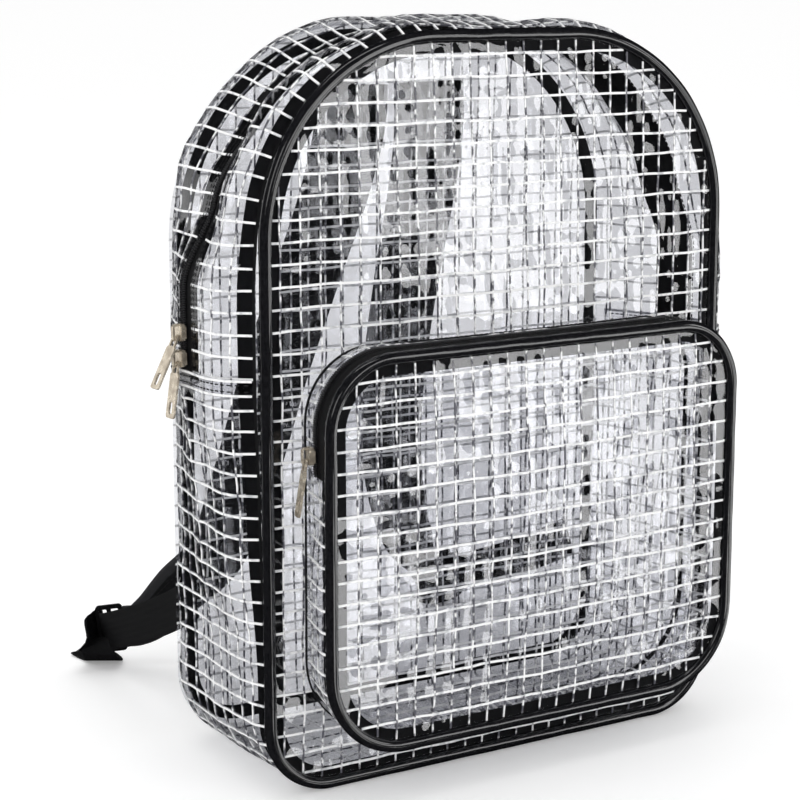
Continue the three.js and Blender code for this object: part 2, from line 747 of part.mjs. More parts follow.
/** A pull tab about its hinge line: an eye round the bail, then a flat tab with a long window. */
function pullGeometry() {
  const rim = pullThickness;
  const pinBack = -rim / 2;
  const eyeFrom = rim / 2;
  const neckWidth = eyeWidth + 2 * rim;
  const neckEnd = eyeFrom + eyeLength + rim;
  const neck = roundedBar(pinBack, neckEnd, neckWidth, eyeCorner);
  neck.holes.push(roundedBar(eyeFrom, eyeFrom + eyeLength, eyeWidth, eyeCorner));
  const tab = roundedBar(neckEnd - rim, pullLength, pullWidth, pullCorner);
  const windowEnd = pullLength - pullWindowMargin;
  const hole = roundedBar(windowEnd - pullWindowLength, windowEnd, pullWindowWidth, pullWindowCorner);
  tab.holes.push(hole);
  const parts = [neck, tab].map((shape) => toSolid(plate(shape, -pullThickness / 2, pullThickness)));
  return fromSolid(parts[0].add(parts[1]));
}

/** Places a slider and its pull on a zip: down the zip, across it and outward are the frame's axes. */
function addSlider(sliderName, pullName, surface, share, acrossShare, { lean }, lift = 0) {
  const outward = surfaceNormal(surface, share, acrossShare);
  const seat = surface(share, acrossShare).addScaledVector(outward, lift);
  const along = new THREE.Vector3(0, 0, -1).addScaledVector(outward, outward.z).normalize();
  const across = new THREE.Vector3().crossVectors(outward, along);
  const frame = new THREE.Matrix4().makeBasis(along, across, outward);
  const slider = addPiece(sliderName, sliderGeometry(), paleGold);
  slider.position.copy(seat);
  slider.quaternion.setFromRotationMatrix(frame);
  const pull = addPiece(pullName, pullGeometry(), paleGold);
  pull.position.copy(seat).addScaledVector(along, pivotAlong).addScaledVector(outward, pivotHeight);
  const swing = new THREE.Quaternion();
  swing.setFromAxisAngle(new THREE.Vector3(0, 1, 0), -THREE.MathUtils.degToRad(lean));
  pull.quaternion.copy(slider.quaternion).multiply(swing);
}

/** The left side's share at a height on an outline. */
function leftShare(line, height) {
  return 1 - line.shareAtHeight(height);
}

addSlider(
  'main_slider_upper',
  'main_pull_upper',
  gussetPoint,
  leftShare(bagOutline, sideSeamHeight + sliderPlaces.mainUpper.rise),
  0.5,
  sliderPlaces.mainUpper,
);
addSlider(
  'main_slider_lower',
  'main_pull_lower',
  gussetPoint,
  leftShare(bagOutline, sideSeamHeight + sliderPlaces.mainLower.rise),
  0.5,
  sliderPlaces.mainLower,
);
addSlider(
  'pocket_slider',
  'pocket_pull',
  outwardPocket,
  leftShare(pocketOutline, pocketZipEnd + sliderPlaces.pocket.rise),
  1 - pocketCoilStart - coilWidth / 2 / pocketDepth,
  sliderPlaces.pocket,
  pocketCoilBase - coilBase,
);

// Straps. The tables give the left strap; the right one is its mirror image.

/** A smooth line through the rows of the strap's table. */
function strapLine(sideSign) {
  return new THREE.CatmullRomCurve3(strapSections.map((row) => {
    const [x, z] = [sideSign * row.side * bagWidth, row.up * bagHeight];
    const seat = backFace(x, z) + seamLift + strapBulge * strapThickness / 2;
    return new THREE.Vector3(x, seat + row.back * bagDepth, z);
  }));
}

/** The column of a table at a share of the line through its rows. */
function columnAt(table, column, share) {
  const place = share * (table.length - 1);
  const row = Math.min(table.length - 2, Math.floor(place));
  return THREE.MathUtils.lerp(table[row][column], table[row + 1][column], place - row);
}

/** A band along a line: its section by share, with its width direction near the one given for that share. */
function bandAlong(line, steps, sectionAt, widthAt) {
  const loops = spread(0, 1, steps).map((share) => {
    const centre = line.getPoint(share);
    const along = line.getTangent(share);
    const hint = widthAt(share);
    const across = hint.clone().addScaledVector(along, -hint.dot(along)).normalize();
    const outward = new THREE.Vector3().crossVectors(along, across);
    return sectionAt(share).map(([wide, thick]) => (
      centre.clone().addScaledVector(across, wide).addScaledVector(outward, thick)
    ));
  });
  return loftLoops(loops);
}

/** A padded strap's section: its corners in order, in across and outward distances. */
function paddedSection(width, thickness) {
  const [w, t] = [width / 2, thickness / 2];
  const shoulder = w - t;
  const [edge, crown] = [t * strapEdge, t * strapBulge];
  return [[-w, edge], [-shoulder, t], [0, crown], [shoulder, t], [w, edge],
    [w, -edge], [shoulder, -t], [0, -crown], [-shoulder, -t], [-w, -edge]];
}

/** A webbing section. */
function webbingSection() {
  const [w, t] = [webbingWidth / 2, webbingThickness / 2];
  return [[-w, t], [w, t], [w, -t], [-w, -t]];
}

const adjusterSlot = (adjusterLength - 3 * adjusterWall) / 2;

/** A plain adjuster: a flat frame with three bars, at the end of a strap. */
function adjusterGeometry() {
  const outerWidth = webbingWidth + 2 * (adjusterWall + adjusterRoom);
  const shape = roundedBar(0, adjusterLength, outerWidth, adjusterWall);
  [adjusterWall, 2 * adjusterWall + adjusterSlot].forEach((from) => {
    shape.holes.push(roundedBar(from, from + adjusterSlot, webbingWidth + 2 * adjusterRoom, adjusterRoom));
  });
  return plate(shape, -adjusterThickness / 2, adjusterThickness);
}

/** The webbing's middle points and width directions: bag corner, adjuster, far bar, floor. */
function webbingPath(sideSign, { base, along, across, ahead }) {
  const down = new THREE.Vector3(0, 0, -1);
  const facing = THREE.MathUtils.degToRad(freeEndTurn);
  const level = new THREE.Vector3(-sideSign * Math.cos(facing), -Math.sin(facing), 0);
  const wrap = wrapSections.map((row) => ({
    point: base.clone()
      .addScaledVector(along, row.along * adjusterLength)
      .addScaledVector(ahead, row.ahead * adjusterLength),
    width: across,
  }));
  const cornerX = sideSign * (bagWidth / 2 - webbingAnchorInset);
  const cornerY = backFace(cornerX, webbingAnchorHeight) + seamLift + anchorLift;
  const corner = new THREE.Vector3(cornerX, cornerY, webbingAnchorHeight);
  const lead = leadSections.map((row) => ({
    point: corner.clone().lerp(wrap[0].point, row.way).addScaledVector(down, row.sag * webbingWidth),
    width: down.clone().lerp(across, row.way),
  }));
  const free = freeSections.map((row) => ({
    point: new THREE.Vector3(
      sideSign * row.side * bagWidth,
      bagDepth / 2 + row.back * bagDepth,
      row.up * bagHeight,
    ),
    width: across.clone().lerp(level, row.level),
  }));
  return [...lead, ...wrap, ...free];
}

/** One shoulder strap with its adjuster and its webbing. */
function addStrap(side, sideSign) {
  const inward = new THREE.Vector3(-sideSign, 0, 0);
  const down = new THREE.Vector3(0, 0, -1);
  const padLine = strapLine(sideSign);
  const padWidthAt = (share) => inward.clone().lerp(down, columnAt(strapSections, 'turn', share));
  const padSection = (share) => {
    const wide = columnAt(strapSections, 'wide', share);
    return paddedSection(THREE.MathUtils.lerp(strapEndWidth, strapWidth, wide), strapThickness);
  };
  addPiece(`${side}_shoulder_strap`, bandAlong(padLine, strapSteps, padSection, padWidthAt), blackFabric);

  const along = padLine.getTangent(1);
  const across = down.clone().addScaledVector(along, -down.dot(along)).normalize();
  const outward = new THREE.Vector3().crossVectors(along, across);
  const base = padLine.getPoint(1).addScaledVector(along, seamGap);
  const adjuster = addPiece(`${side}_adjuster`, adjusterGeometry(), blackPlastic);
  adjuster.position.copy(base);
  adjuster.quaternion.setFromRotationMatrix(new THREE.Matrix4().makeBasis(along, across, outward));

  const ahead = outward.clone().multiplyScalar(-sideSign);
  const path = webbingPath(sideSign, { base, along, across, ahead });
  const line = new THREE.CatmullRomCurve3(path.map((row) => row.point));
  const widthAt = (share) => {
    const place = share * (path.length - 1);
    const row = Math.min(path.length - 2, Math.floor(place));
    return path[row].width.clone().lerp(path[row + 1].width, place - row);
  };
  const steps = webbingStepsPerRow * (path.length - 1);
  addPiece(`${side}_webbing`, bandAlong(line, steps, webbingSection, widthAt), blackFabric);
}

addStrap('left', -1);
addStrap('right', 1);

export default bag;
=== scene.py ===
"""The looks of a clear netted-film backpack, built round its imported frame."""

import logging
import math
from collections.abc import Callable
from dataclasses import dataclass, field
from enum import Enum

import bpy
import numpy as np
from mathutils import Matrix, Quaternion, Vector

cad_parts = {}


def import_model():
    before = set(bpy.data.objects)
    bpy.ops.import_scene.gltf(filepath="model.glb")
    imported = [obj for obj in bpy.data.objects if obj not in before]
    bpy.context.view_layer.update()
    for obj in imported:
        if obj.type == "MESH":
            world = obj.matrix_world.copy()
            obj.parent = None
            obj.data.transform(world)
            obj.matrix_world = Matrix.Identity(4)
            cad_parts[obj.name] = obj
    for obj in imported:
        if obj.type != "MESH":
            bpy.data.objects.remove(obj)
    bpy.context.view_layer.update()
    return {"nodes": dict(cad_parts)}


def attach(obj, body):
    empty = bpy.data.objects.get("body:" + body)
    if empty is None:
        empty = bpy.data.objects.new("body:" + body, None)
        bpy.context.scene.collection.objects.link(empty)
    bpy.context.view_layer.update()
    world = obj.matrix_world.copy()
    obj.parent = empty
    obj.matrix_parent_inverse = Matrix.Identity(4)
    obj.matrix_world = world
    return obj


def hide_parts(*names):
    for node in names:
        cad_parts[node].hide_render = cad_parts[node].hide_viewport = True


LOG = logging.getLogger("clear_backpack")
MILLIMETRE = 0.001
BAG_BODY = "bag"

Array = np.ndarray
Surface = Callable[[Array, Array], Array]


# Shader graphs

class Value:
    """A shader socket that takes part in Python arithmetic through Math nodes."""

    def __init__(self, graph: "Graph", socket: bpy.types.NodeSocket) -> None:
        """Wraps one output socket of a graph."""
        self.graph = graph
        self.socket = socket

    def _math(self, operation: str, first: "Value | float", second: "Value | float") -> "Value":
        """One Math node.

        Args:
            operation: the node's operation.
            first: its first operand.
            second: its second operand.

        Returns:
            The node's result.
        """
        node = self.graph.node("ShaderNodeMath", {"operation": operation}, {0: first, 1: second})
        return Value(self.graph, node.outputs[0])

    def __add__(self, other: "Value | float") -> "Value":
        """Sum."""
        return self._math("ADD", self, other)

    __radd__ = __add__

    def __mul__(self, other: "Value | float") -> "Value":
        """Product."""
        return self._math("MULTIPLY", self, other)

    __rmul__ = __mul__

    def __sub__(self, other: "Value | float") -> "Value":
        """Difference."""
        return self._math("SUBTRACT", self, other)

    def __rsub__(self, other: float) -> "Value":
        """Difference from a number."""
        return self._math("SUBTRACT", other, self)

    def __pow__(self, other: float) -> "Value":
        """Power."""
        return self._math("POWER", self, other)

    def sine(self) -> "Value":
        """Sine."""
        return self._math("SINE", self, 0.0)


class Graph:
    """A material's node tree."""

    def __init__(self, name: str) -> None:
        """Starts an empty material of that name."""
        self.material = bpy.data.materials.new(name)
        self.material.use_nodes = True
        self.tree = self.material.node_tree
        self.tree.nodes.clear()

    def node(self, kind: str, settings: dict | None = None, inputs: dict | None = None) -> bpy.types.Node:
        """One node.

        Args:
            kind: the node's type.
            settings: its own settings; "stops" gives a ramp's places and colours.
            inputs: values or links by socket name or number.

        Returns:
            The node.
        """
        made = self.tree.nodes.new(kind)
        for key, value in (settings or {}).items():
            if key == "stops":
                self._set_stops(made.color_ramp, value)
            else:
                setattr(made, key, value)
        for key, value in (inputs or {}).items():
            self.feed(made.inputs[key], value)
        return made

    @staticmethod
    def _set_stops(ramp: bpy.types.ColorRamp, stops: list[tuple[float, tuple]]) -> None:
        """Gives a ramp its places and colours."""
        while len(ramp.elements) < len(stops):
            ramp.elements.new(0.5)
        for element, (place, colour) in zip(ramp.elements, stops):
            element.position = place
            element.color = (*colour, 1.0)

    def feed(self, socket: bpy.types.NodeSocket, value: object) -> None:
        """Links a value or socket to an input, or sets the input's own value."""
        if isinstance(value, Value):
            self.tree.links.new(value.socket, socket)
        elif isinstance(value, bpy.types.NodeSocket):
            self.tree.links.new(value, socket)
        elif isinstance(value, tuple) and len(value) == 3 and len(socket.default_value) == 4:
            socket.default_value = (*value, 1.0)
        else:
            socket.default_value = value

    def value(self, node: bpy.types.Node, output: int | str = 0) -> Value:
        """A node's output as a value."""
        return Value(self, node.outputs[output])

    def coordinates(self, source: str) -> bpy.types.NodeSocket:
        """Object or UV coordinates."""
        return self.node("ShaderNodeTexCoord").outputs[source]

    def split(self, vector: bpy.types.NodeSocket) -> tuple[Value, Value, Value]:
        """A vector's three components."""
        node = self.node("ShaderNodeSeparateXYZ", None, {0: vector})
        return tuple(Value(self, output) for output in node.outputs)

    def noise(self, scale: float, detail: float = 2.0, source: str = "Object") -> Value:
        """A noise pattern from 0 to 1."""
        inputs = {"Vector": self.coordinates(source), "Scale": scale, "Detail": detail}
        return self.value(self.node("ShaderNodeTexNoise", None, inputs), 0)

    def ramp(self, factor: Value, stops: list[tuple[float, tuple]]) -> bpy.types.NodeSocket:
        """A colour looked up from a factor."""
        return self.node("ShaderNodeValToRGB", {"stops": stops}, {0: factor}).outputs[0]

    def bump(self, height: Value, strength: float, distance_mm: float) -> bpy.types.NodeSocket:
        """A normal from a height."""
        inputs = {"Height": height, "Strength": strength, "Distance": distance_mm * MILLIMETRE}
        return self.node("ShaderNodeBump", None, inputs).outputs[0]

    def principled(self, inputs: dict) -> bpy.types.NodeSocket:
        """A Principled shader."""
        return self.node("ShaderNodeBsdfPrincipled", None, inputs).outputs[0]

    def output(self, shader: bpy.types.NodeSocket) -> bpy.types.Material:
        """Ends the graph with its surface shader."""
        self.node("ShaderNodeOutputMaterial", None, {"Surface": shader})
        return self.material


# Finishes

@dataclass(frozen=True)
class ClearFilm:
    """Glossy clear film: mostly see-through, with a mirror coat that grows at grazing angles."""

    name: str = "clear_film"
    tint: tuple[float, float, float] = (0.908, 0.91, 0.922)
    sheen: tuple[float, float, float] = (1.0, 1.0, 1.0)
    roughness: float = 0.02
    straight: float = 0.047

    def build(self) -> bpy.types.Material:
        """Makes the material."""
        graph = Graph(self.name)
        ripple = graph.bump(graph.noise(95.0, 0.5), 1.0, 0.35)
        clear = graph.node("ShaderNodeBsdfTransparent", None, {"Color": self.tint}).outputs[0]
        gloss = graph.node(
            "ShaderNodeBsdfGlossy",
            None,
            {"Color": self.sheen, "Roughness": self.roughness, "Normal": ripple},
        ).outputs[0]
        weight = graph.node("ShaderNodeLayerWeight", None, {"Blend": 0.5, "Normal": ripple})
        mirror = graph.value(weight, "Facing") ** 5 * (1 - self.straight) + self.straight
        mixed = graph.node("ShaderNodeMixShader", None, {0: mirror, 1: clear, 2: gloss}).outputs[0]
        return graph.output(mixed)


@dataclass(frozen=True)
class NetYarn:
    """White flat yarn sealed in the film, with random patches of painted shade."""

    name: str
    painted_shade: tuple[float, float, float] = (0.55, 0.56, 0.58)
    white: tuple[float, float, float] = (0.93, 0.93, 0.93)
    spread: tuple[float, float] = (0.32, 0.5)
    roughness: float = 0.4

    def build(self) -> bpy.types.Material:
        """Makes the material."""
        graph = Graph(self.name)
        painted_shade_mottle = graph.noise(210.0, 3.0)
        # random noise mixes painted shade into the white yarn, standing in for shade on the net
        colour = graph.ramp(painted_shade_mottle, [(self.spread[0], self.painted_shade), (self.spread[1], self.white)])
        normal = graph.bump(graph.noise(900.0, 2.0), 0.7, 0.3)
        return graph.output(
            graph.principled({"Base Color": colour, "Roughness": self.roughness, "Normal": normal})
        )


@dataclass(frozen=True)
class GlossyVinyl:
    """Glossy black vinyl, as on piping."""

    name: str = "glossy_vinyl"
    dark: tuple[float, float, float] = (0.004, 0.004, 0.005)
    lighter: tuple[float, float, float] = (0.013, 0.013, 0.015)
    roughness: float = 0.15

    def build(self) -> bpy.types.Material:
        """Makes the material."""
        graph = Graph(self.name)
        grain = graph.noise(700.0, 4.0)
        colour = graph.ramp(grain, [(0.35, self.dark), (0.7, self.lighter)])
        rough = grain * 0.12 + (self.roughness - 0.06)
        normal = graph.bump(graph.noise(160.0, 3.0), 0.25, 0.5)
        inputs = {"Base Color": colour, "Roughness": rough, "Normal": normal, "Coat Weight": 0.4}
        return graph.output(graph.principled(inputs))


class Weave(Enum):
    """How a band's yarns cross."""

    PLAIN = "plain"
    HERRINGBONE = "herringbone"


@dataclass(frozen=True)
class WovenBand:
    """A woven black band; its pattern follows the band's own UV map in millimetres."""

    name: str
    weave: Weave = Weave.PLAIN
    pitch: float = 0.9
    dark: tuple[float, float, float] = (0.004, 0.004, 0.005)
    lighter: tuple[float, float, float] = (0.014, 0.014, 0.016)
    roughness: float = 0.65
    relief: float = 0.5

    def build(self) -> bpy.types.Material:
        """Makes the material: yarn height is the product or the sum of two sines across the band."""
        graph = Graph(self.name)
        along, across, _ = graph.split(graph.coordinates("UV"))
        turns = 2 * math.pi / self.pitch
        if self.weave is Weave.PLAIN:
            height = (along * turns).sine() * (across * turns).sine()
        else:
            folded = graph.node("ShaderNodeMath", {"operation": "PINGPONG"}, {0: across, 1: 2.0})
            slant = graph.value(folded)
            height = ((along + slant * 1.4) * turns).sine()
        yarn = height * 0.5 + 0.5
        fuzz = graph.noise(1800.0, 2.0)
        # the colour is darker where the yarns dip and lighter on their crowns: painted shade and painted
        # highlight of the weave's relief, mixed with random fuzz
        colour = graph.ramp(yarn * 0.7 + fuzz * 0.3, [(0.2, self.dark), (0.8, self.lighter)])
        normal = graph.bump(yarn, self.relief, 0.35)
        inputs = {
            "Base Color": colour,
            "Roughness": self.roughness,
            "Normal": normal,
            "Specular IOR Level": 0.3,
        }
        return graph.output(graph.principled(inputs))


@dataclass(frozen=True)
class MouldedPlastic:
    """Satin black plastic."""

    name: str
    colour: tuple[float, float, float] = (0.006, 0.006, 0.007)
    roughness: float = 0.34

    def build(self) -> bpy.types.Material:
        """Makes the material."""
        graph = Graph(self.name)
        grain = graph.noise(900.0, 3.0)
        rough = grain * 0.15 + (self.roughness - 0.07)
        normal = graph.bump(graph.noise(2400.0, 2.0), 0.15, 0.1)
        return graph.output(
            graph.principled({"Base Color": self.colour, "Roughness": rough, "Normal": normal})
        )


@dataclass(frozen=True)
class PlatedMetal:
    """Pale gold plate with faint wear."""

    name: str = "pale_gold"
    plate: tuple[float, float, float] = (0.83, 0.74, 0.6)
    worn: tuple[float, float, float] = (0.5, 0.43, 0.34)
    metallic: float = 0.65
    roughness: float = 0.24

    def build(self) -> bpy.types.Material:
        """Makes the material."""
        graph = Graph(self.name)
        wear = graph.noise(240.0, 5.0)
        colour = graph.ramp(wear, [(0.35, self.worn), (0.6, self.plate)])
        rough = wear * 0.2 + (self.roughness - 0.08)
        normal = graph.bump(graph.noise(900.0, 3.0), 0.08, 0.1)
        inputs = {"Base Color": colour, "Metallic": self.metallic, "Roughness": rough, "Normal": normal}
        return graph.output(graph.principled(inputs))


@dataclass(frozen=True)
class LitCard:
    """An even glow, for what glossy surfaces mirror."""

    name: str
    radiance: float

    def build(self) -> bpy.types.Material:
        """Makes the material."""
        graph = Graph(self.name)
        inputs = {"Color": (1.0, 1.0, 1.0), "Strength": self.radiance}
        return graph.output(graph.node("ShaderNodeEmission", None, inputs).outputs[0])


@dataclass(frozen=True)
class PaleFloor:
    """Plain pale floor."""

    name: str = "pale_floor"
    colour: tuple[float, float, float] = (0.9, 0.9, 0.9)
    glow: float = 0.22

    def build(self) -> bpy.types.Material:
        """Makes the material."""
        graph = Graph(self.name)
        inputs = {
            "Base Color": self.colour,
            "Roughness": 0.7,
            "Emission Color": (1.0, 1.0, 1.0),
            "Emission Strength": self.glow,
        }
        return graph.output(graph.principled(inputs))


class Finishes:
    """Every finish of the backpack, made once."""

    def __init__(self) -> None:
        """Makes the materials."""
        self.film = ClearFilm().build()
        # the warp's painted shade is much darker than the weft's, and its patches are sharper-edged
        self.warp = NetYarn("net_warp", painted_shade=(0.1, 0.1, 0.12), spread=(0.44, 0.56)).build()
        self.weft = NetYarn("net_weft").build()
        self.piping = GlossyVinyl().build()
        self.tape = WovenBand("zip_tape", Weave.HERRINGBONE, 1.1).build()
        self.binding = WovenBand("binding_tape", Weave.PLAIN, 0.7).build()
        self.webbing = WovenBand("strap_webbing", Weave.HERRINGBONE, 1.6, relief=0.8).build()
        self.padding = WovenBand("strap_cloth", Weave.PLAIN, 0.6, roughness=0.6).build()
        self.edging = WovenBand("strap_edging", Weave.PLAIN, 0.9, lighter=(0.045, 0.045, 0.05)).build()
        self.coil = MouldedPlastic("zip_coil", (0.03, 0.03, 0.032), 0.3).build()
        self.moulding = MouldedPlastic("adjuster_plastic").build()
        self.sewing = MouldedPlastic("sewing_thread", (0.012, 0.012, 0.014), 0.6).build()
        self.metal = PlatedMetal().build()
        self.floor = PaleFloor().build()


# Meshes

def grid_faces(rows: int, columns: int, wrap_rows: bool = False, wrap_columns: bool = False) -> Array:
    """Quads between neighbouring rows and columns of a grid of points.

    Args:
        rows: number of rows.
        columns: number of columns.
        wrap_rows: whether the last row joins the first.
        wrap_columns: whether the last column joins the first.

    Returns:
        An array of four corner numbers a face.
    """
    row = np.arange(rows if wrap_rows else rows - 1)[:, None]
    column = np.arange(columns if wrap_columns else columns - 1)[None, :]
    next_row = (row + 1) % rows
    next_column = (column + 1) % columns
    corners = [
        row * columns + column,
        row * columns + next_column,
        next_row * columns + next_column,
        next_row * columns + column,
    ]
    return np.stack([corner + 0 * row + 0 * column for corner in corners], axis=-1).reshape(-1, 4)


def end_faces(columns: int) -> Array:
    """Quads that close an end loop by joining its first half to its second half."""
    i = np.arange(columns // 2 - 1)
    return np.stack([i, i + 1, columns - 2 - i, columns - 1 - i], axis=-1)


def outward(points: Array, faces: Array) -> Array:
    """The faces with their corners in the order that makes a closed solid's volume positive."""
    corners = points[faces]
    first = np.einsum("ij,ij->i", corners[:, 0], np.cross(corners[:, 1], corners[:, 2]))
    second = np.einsum("ij,ij->i", corners[:, 0], np.cross(corners[:, 2], corners[:, 3]))
    return faces if (first + second).sum() > 0 else faces[:, ::-1]


SHARP_ANGLE = math.radians(50)


def make_object(name: str, points: Array, faces: Array, finish: bpy.types.Material,
                uv: Array | None = None, smooth: bool = True) -> bpy.types.Object:
    """One mesh object.

    Args:
        name: the piece's name.
        points: corners in millimetres.
        faces: four corner numbers a face.
        finish: its material.
        uv: a pair of millimetre coordinates a corner.
        smooth: whether the faces shade smoothly.

    Returns:
        The object.
    """
    mesh = bpy.data.meshes.new(name)
    mesh.vertices.add(len(points))
    mesh.vertices.foreach_set("co", (points * MILLIMETRE).astype(np.float32).ravel())
    mesh.loops.add(faces.size)
    mesh.loops.foreach_set("vertex_index", faces.astype(np.int32).ravel())
    mesh.polygons.add(len(faces))
    mesh.polygons.foreach_set("loop_start", np.arange(0, faces.size, 4, dtype=np.int32))
    mesh.polygons.foreach_set("use_smooth", np.full(len(faces), smooth))
    if uv is not None:
        layer = mesh.uv_layers.new(name="UVMap")
        layer.data.foreach_set("uv", uv[faces.ravel()].astype(np.float32).ravel())
    mesh.update(calc_edges=True)
    if smooth:
        mesh.set_sharp_from_angle(angle=SHARP_ANGLE)
    mesh.materials.append(finish)
    made = bpy.data.objects.new(name, mesh)
    bpy.context.scene.collection.objects.link(made)
    return made


def loft(name: str, loops: Array, finish: bpy.types.Material, ring: bool = False,
         uv: Array | None = None) -> bpy.types.Object:
    """A closed solid through a row of closed loops, its ends zipped shut unless it is a ring.

    Args:
        name: the piece's name.
        loops: points in millimetres, as rows, columns and coordinates.
        finish: its material.
        ring: whether the last loop joins the first.
        uv: millimetre coordinates for each point.

    Returns:
        The object.
    """
    rows, columns = loops.shape[:2]
    faces = [grid_faces(rows, columns, ring, True)]
    if not ring:
        faces += [end_faces(columns)[:, ::-1], end_faces(columns) + (rows - 1) * columns]
    points = loops.reshape(-1, 3)
    flat_uv = None if uv is None else uv.reshape(-1, 2)
    return make_object(name, points, outward(points, np.concatenate(faces)), finish, flat_uv)


def scatter(name: str, template: Array, frames: Array, finish: bpy.types.Material) -> bpy.types.Object:
    """One mesh of many copies of a small closed loft.

    Args:
        name: the piece's name.
        template: the small loft's loops in millimetres, in its own along, across and outward axes.
        frames: one 4 by 3 block a copy: origin, along, across and outward.
        finish: its material.

    Returns:
        The object.
    """
    rows, columns = template.shape[:2]
    local = template.reshape(-1, 3)
    copies = frames[:, None, 0] + np.einsum("pk,nkc->npc", local, frames[:, 1:])
    faces = np.concatenate([
        grid_faces(rows, columns, False, True),
        end_faces(columns)[:, ::-1],
        end_faces(columns) + (rows - 1) * columns,
    ])
    faces = outward(copies[0], faces)
    offsets = np.arange(len(frames))[:, None, None] * len(local)
    return make_object(name, copies.reshape(-1, 3), (faces + offsets).reshape(-1, 4), finish)


def unit(vectors: Array) -> Array:
    """Vectors of length one."""
    return vectors / np.maximum(np.linalg.norm(vectors, axis=-1, keepdims=True), 1e-9)


def smoothstep(values: Array, low: float, high: float) -> Array:
    """Zero below low, one above high, eased between."""
    share = np.clip((values - low) / (high - low), 0.0, 1.0)
    return share * share * (3 - 2 * share)


# The bag's form, as its solids have it

@dataclass(frozen=True)
class RoundedOutline:
    """A rounded outline in the XZ plane, walked by arc length from the bottom's middle towards +X."""

    width: float
    height: float
    top_radius: float
    bottom_radius: float
    base: float = 0.0

    @property
    def lengths(self) -> tuple[float, ...]:
        """Half floor, low arc, side, high arc and half top."""
        return (
            self.width / 2 - self.bottom_radius,
            self.bottom_radius * math.pi / 2,
            self.height - self.bottom_radius - self.top_radius,
            self.top_radius * math.pi / 2,
            self.width / 2 - self.top_radius,
        )

    @property
    def perimeter(self) -> float:
        """The whole way round."""
        return 2 * sum(self.lengths)

    def inset(self, by: float) -> "RoundedOutline":
        """The same outline moved inward all round."""
        return RoundedOutline(
            self.width - 2 * by,
            self.height - 2 * by,
            self.top_radius - by,
            self.bottom_radius - by,
            self.base + by,
        )

    def share_at_height(self, height: float) -> float:
        """The share at a height on the straight right side."""
        floor, low_arc = self.lengths[:2]
        return (floor + low_arc + height - self.base - self.bottom_radius) / self.perimeter

    def at(self, share: Array) -> tuple[Array, Array, Array, Array]:
        """Places on the outline: each straight and arc in turn, mirrored for the second half.

        Args:
            share: shares of the way round.

        Returns:
            x, z and the outward direction's x and z.
        """
        turn = share - np.floor(share)
        mirrored = turn > 0.5
        way = np.where(mirrored, 1 - turn, turn) * self.perimeter
        floor, low_arc, side, high_arc, _ = self.lengths
        low = np.clip((way - floor) / self.bottom_radius, 0, math.pi / 2) - math.pi / 2
        high = np.clip((way - floor - low_arc - side) / self.top_radius, 0, math.pi / 2)
        climb = np.clip(way - floor - low_arc, 0, side)
        over = np.clip(way - floor - low_arc - side - high_arc, 0, None)
        upper = way > floor + low_arc + side
        radius = np.where(upper, self.top_radius, self.bottom_radius)
        angle = np.where(upper, high, low)
        nx, nz = np.cos(angle), np.sin(angle)
        centre_x = self.width / 2 - radius
        high_centre = self.base + self.height - self.top_radius
        centre_z = np.where(upper, high_centre, self.base + self.bottom_radius + climb)
        x = np.minimum(centre_x, np.where(way < floor, way, centre_x)) + radius * nx - over
        x = np.where(way < floor, way, x)
        z = centre_z + radius * nz
        side_sign = np.where(mirrored, -1.0, 1.0)
        return x * side_sign, z, nx * side_sign, nz

    def half_width(self, z: Array) -> Array:
        """Half the width inside the outline at a height."""
        low = np.clip(self.base + self.bottom_radius - z, 0, self.bottom_radius)
        high = np.clip(z - self.base - self.height + self.top_radius, 0, self.top_radius)
        cut_low = self.bottom_radius - np.sqrt(self.bottom_radius**2 - low**2)
        cut_high = self.top_radius - np.sqrt(self.top_radius**2 - high**2)
        return self.width / 2 - cut_low - cut_high

    def span_at(self, x: Array) -> tuple[Array, Array]:
        """Lowest and highest z inside the outline at an x."""
        low = np.clip(np.abs(x) - self.width / 2 + self.bottom_radius, 0, self.bottom_radius)
        high = np.clip(np.abs(x) - self.width / 2 + self.top_radius, 0, self.top_radius)
        bottom = self.base + self.bottom_radius - np.sqrt(self.bottom_radius**2 - low**2)
        top = self.base + self.height - self.top_radius + np.sqrt(self.top_radius**2 - high**2)
        return bottom, top

    def signed_distance(self, x: Array, z: Array) -> Array:
        """Millimetres outside the outline, negative inside, from the core rectangle's nearest place."""
        radius = self._radius_at(z)
        qx = np.abs(x) - self.width / 2 + radius
        qz = np.abs(z - self.base - self.height / 2) - self.height / 2 + radius
        outside = np.hypot(np.maximum(qx, 0), np.maximum(qz, 0))
        return outside + np.minimum(np.maximum(qx, qz), 0) - radius

    def drawn_in(self, x: Array, z: Array) -> tuple[Array, Array]:
        """The nearest places on the outline, for places outside it."""
        radius = self._radius_at(z)
        middle = self.base + self.height / 2
        core_x = np.clip(x, radius - self.width / 2, self.width / 2 - radius)
        core_z = middle + np.clip(z - middle, radius - self.height / 2, self.height / 2 - radius)
        away = unit(np.stack([x - core_x, z - core_z], axis=-1)) * radius[..., None]
        return core_x + away[..., 0], core_z + away[..., 1]

    def _radius_at(self, z: Array) -> Array:
        """The corner radius that goes with a height."""
        return np.where(z > self.base + self.height / 2, self.top_radius, self.bottom_radius)


@dataclass(frozen=True)
class BagSize:
    """The bag's named sizes in millimetres."""

    width: float = 312.0
    height: float = 422.0
    depth: float = 116.0
    crown: float = 8.0
    back_rise: float = 4.0
    piping: float = 7.0
    side_inset: float = 2.0
    front_tuck: float = 1.5
    back_tuck: float = 3.0
    tuck_reach: float = 14.0
    seam_height: float = 234.0
    slot_back: float = 61.5 / 116
    tape: float = 30.0
    slot_front: float = 10.0
    pocket_depth: float = 40.0
    pocket_crown: float = 6.0
    pocket_flare: float = 9.0
    pocket_end_flare: float = 3.0
    pocket_tuck: float = 2.0
    pocket_zip_end: float = 188.0
    pocket_tape: float = 16.0


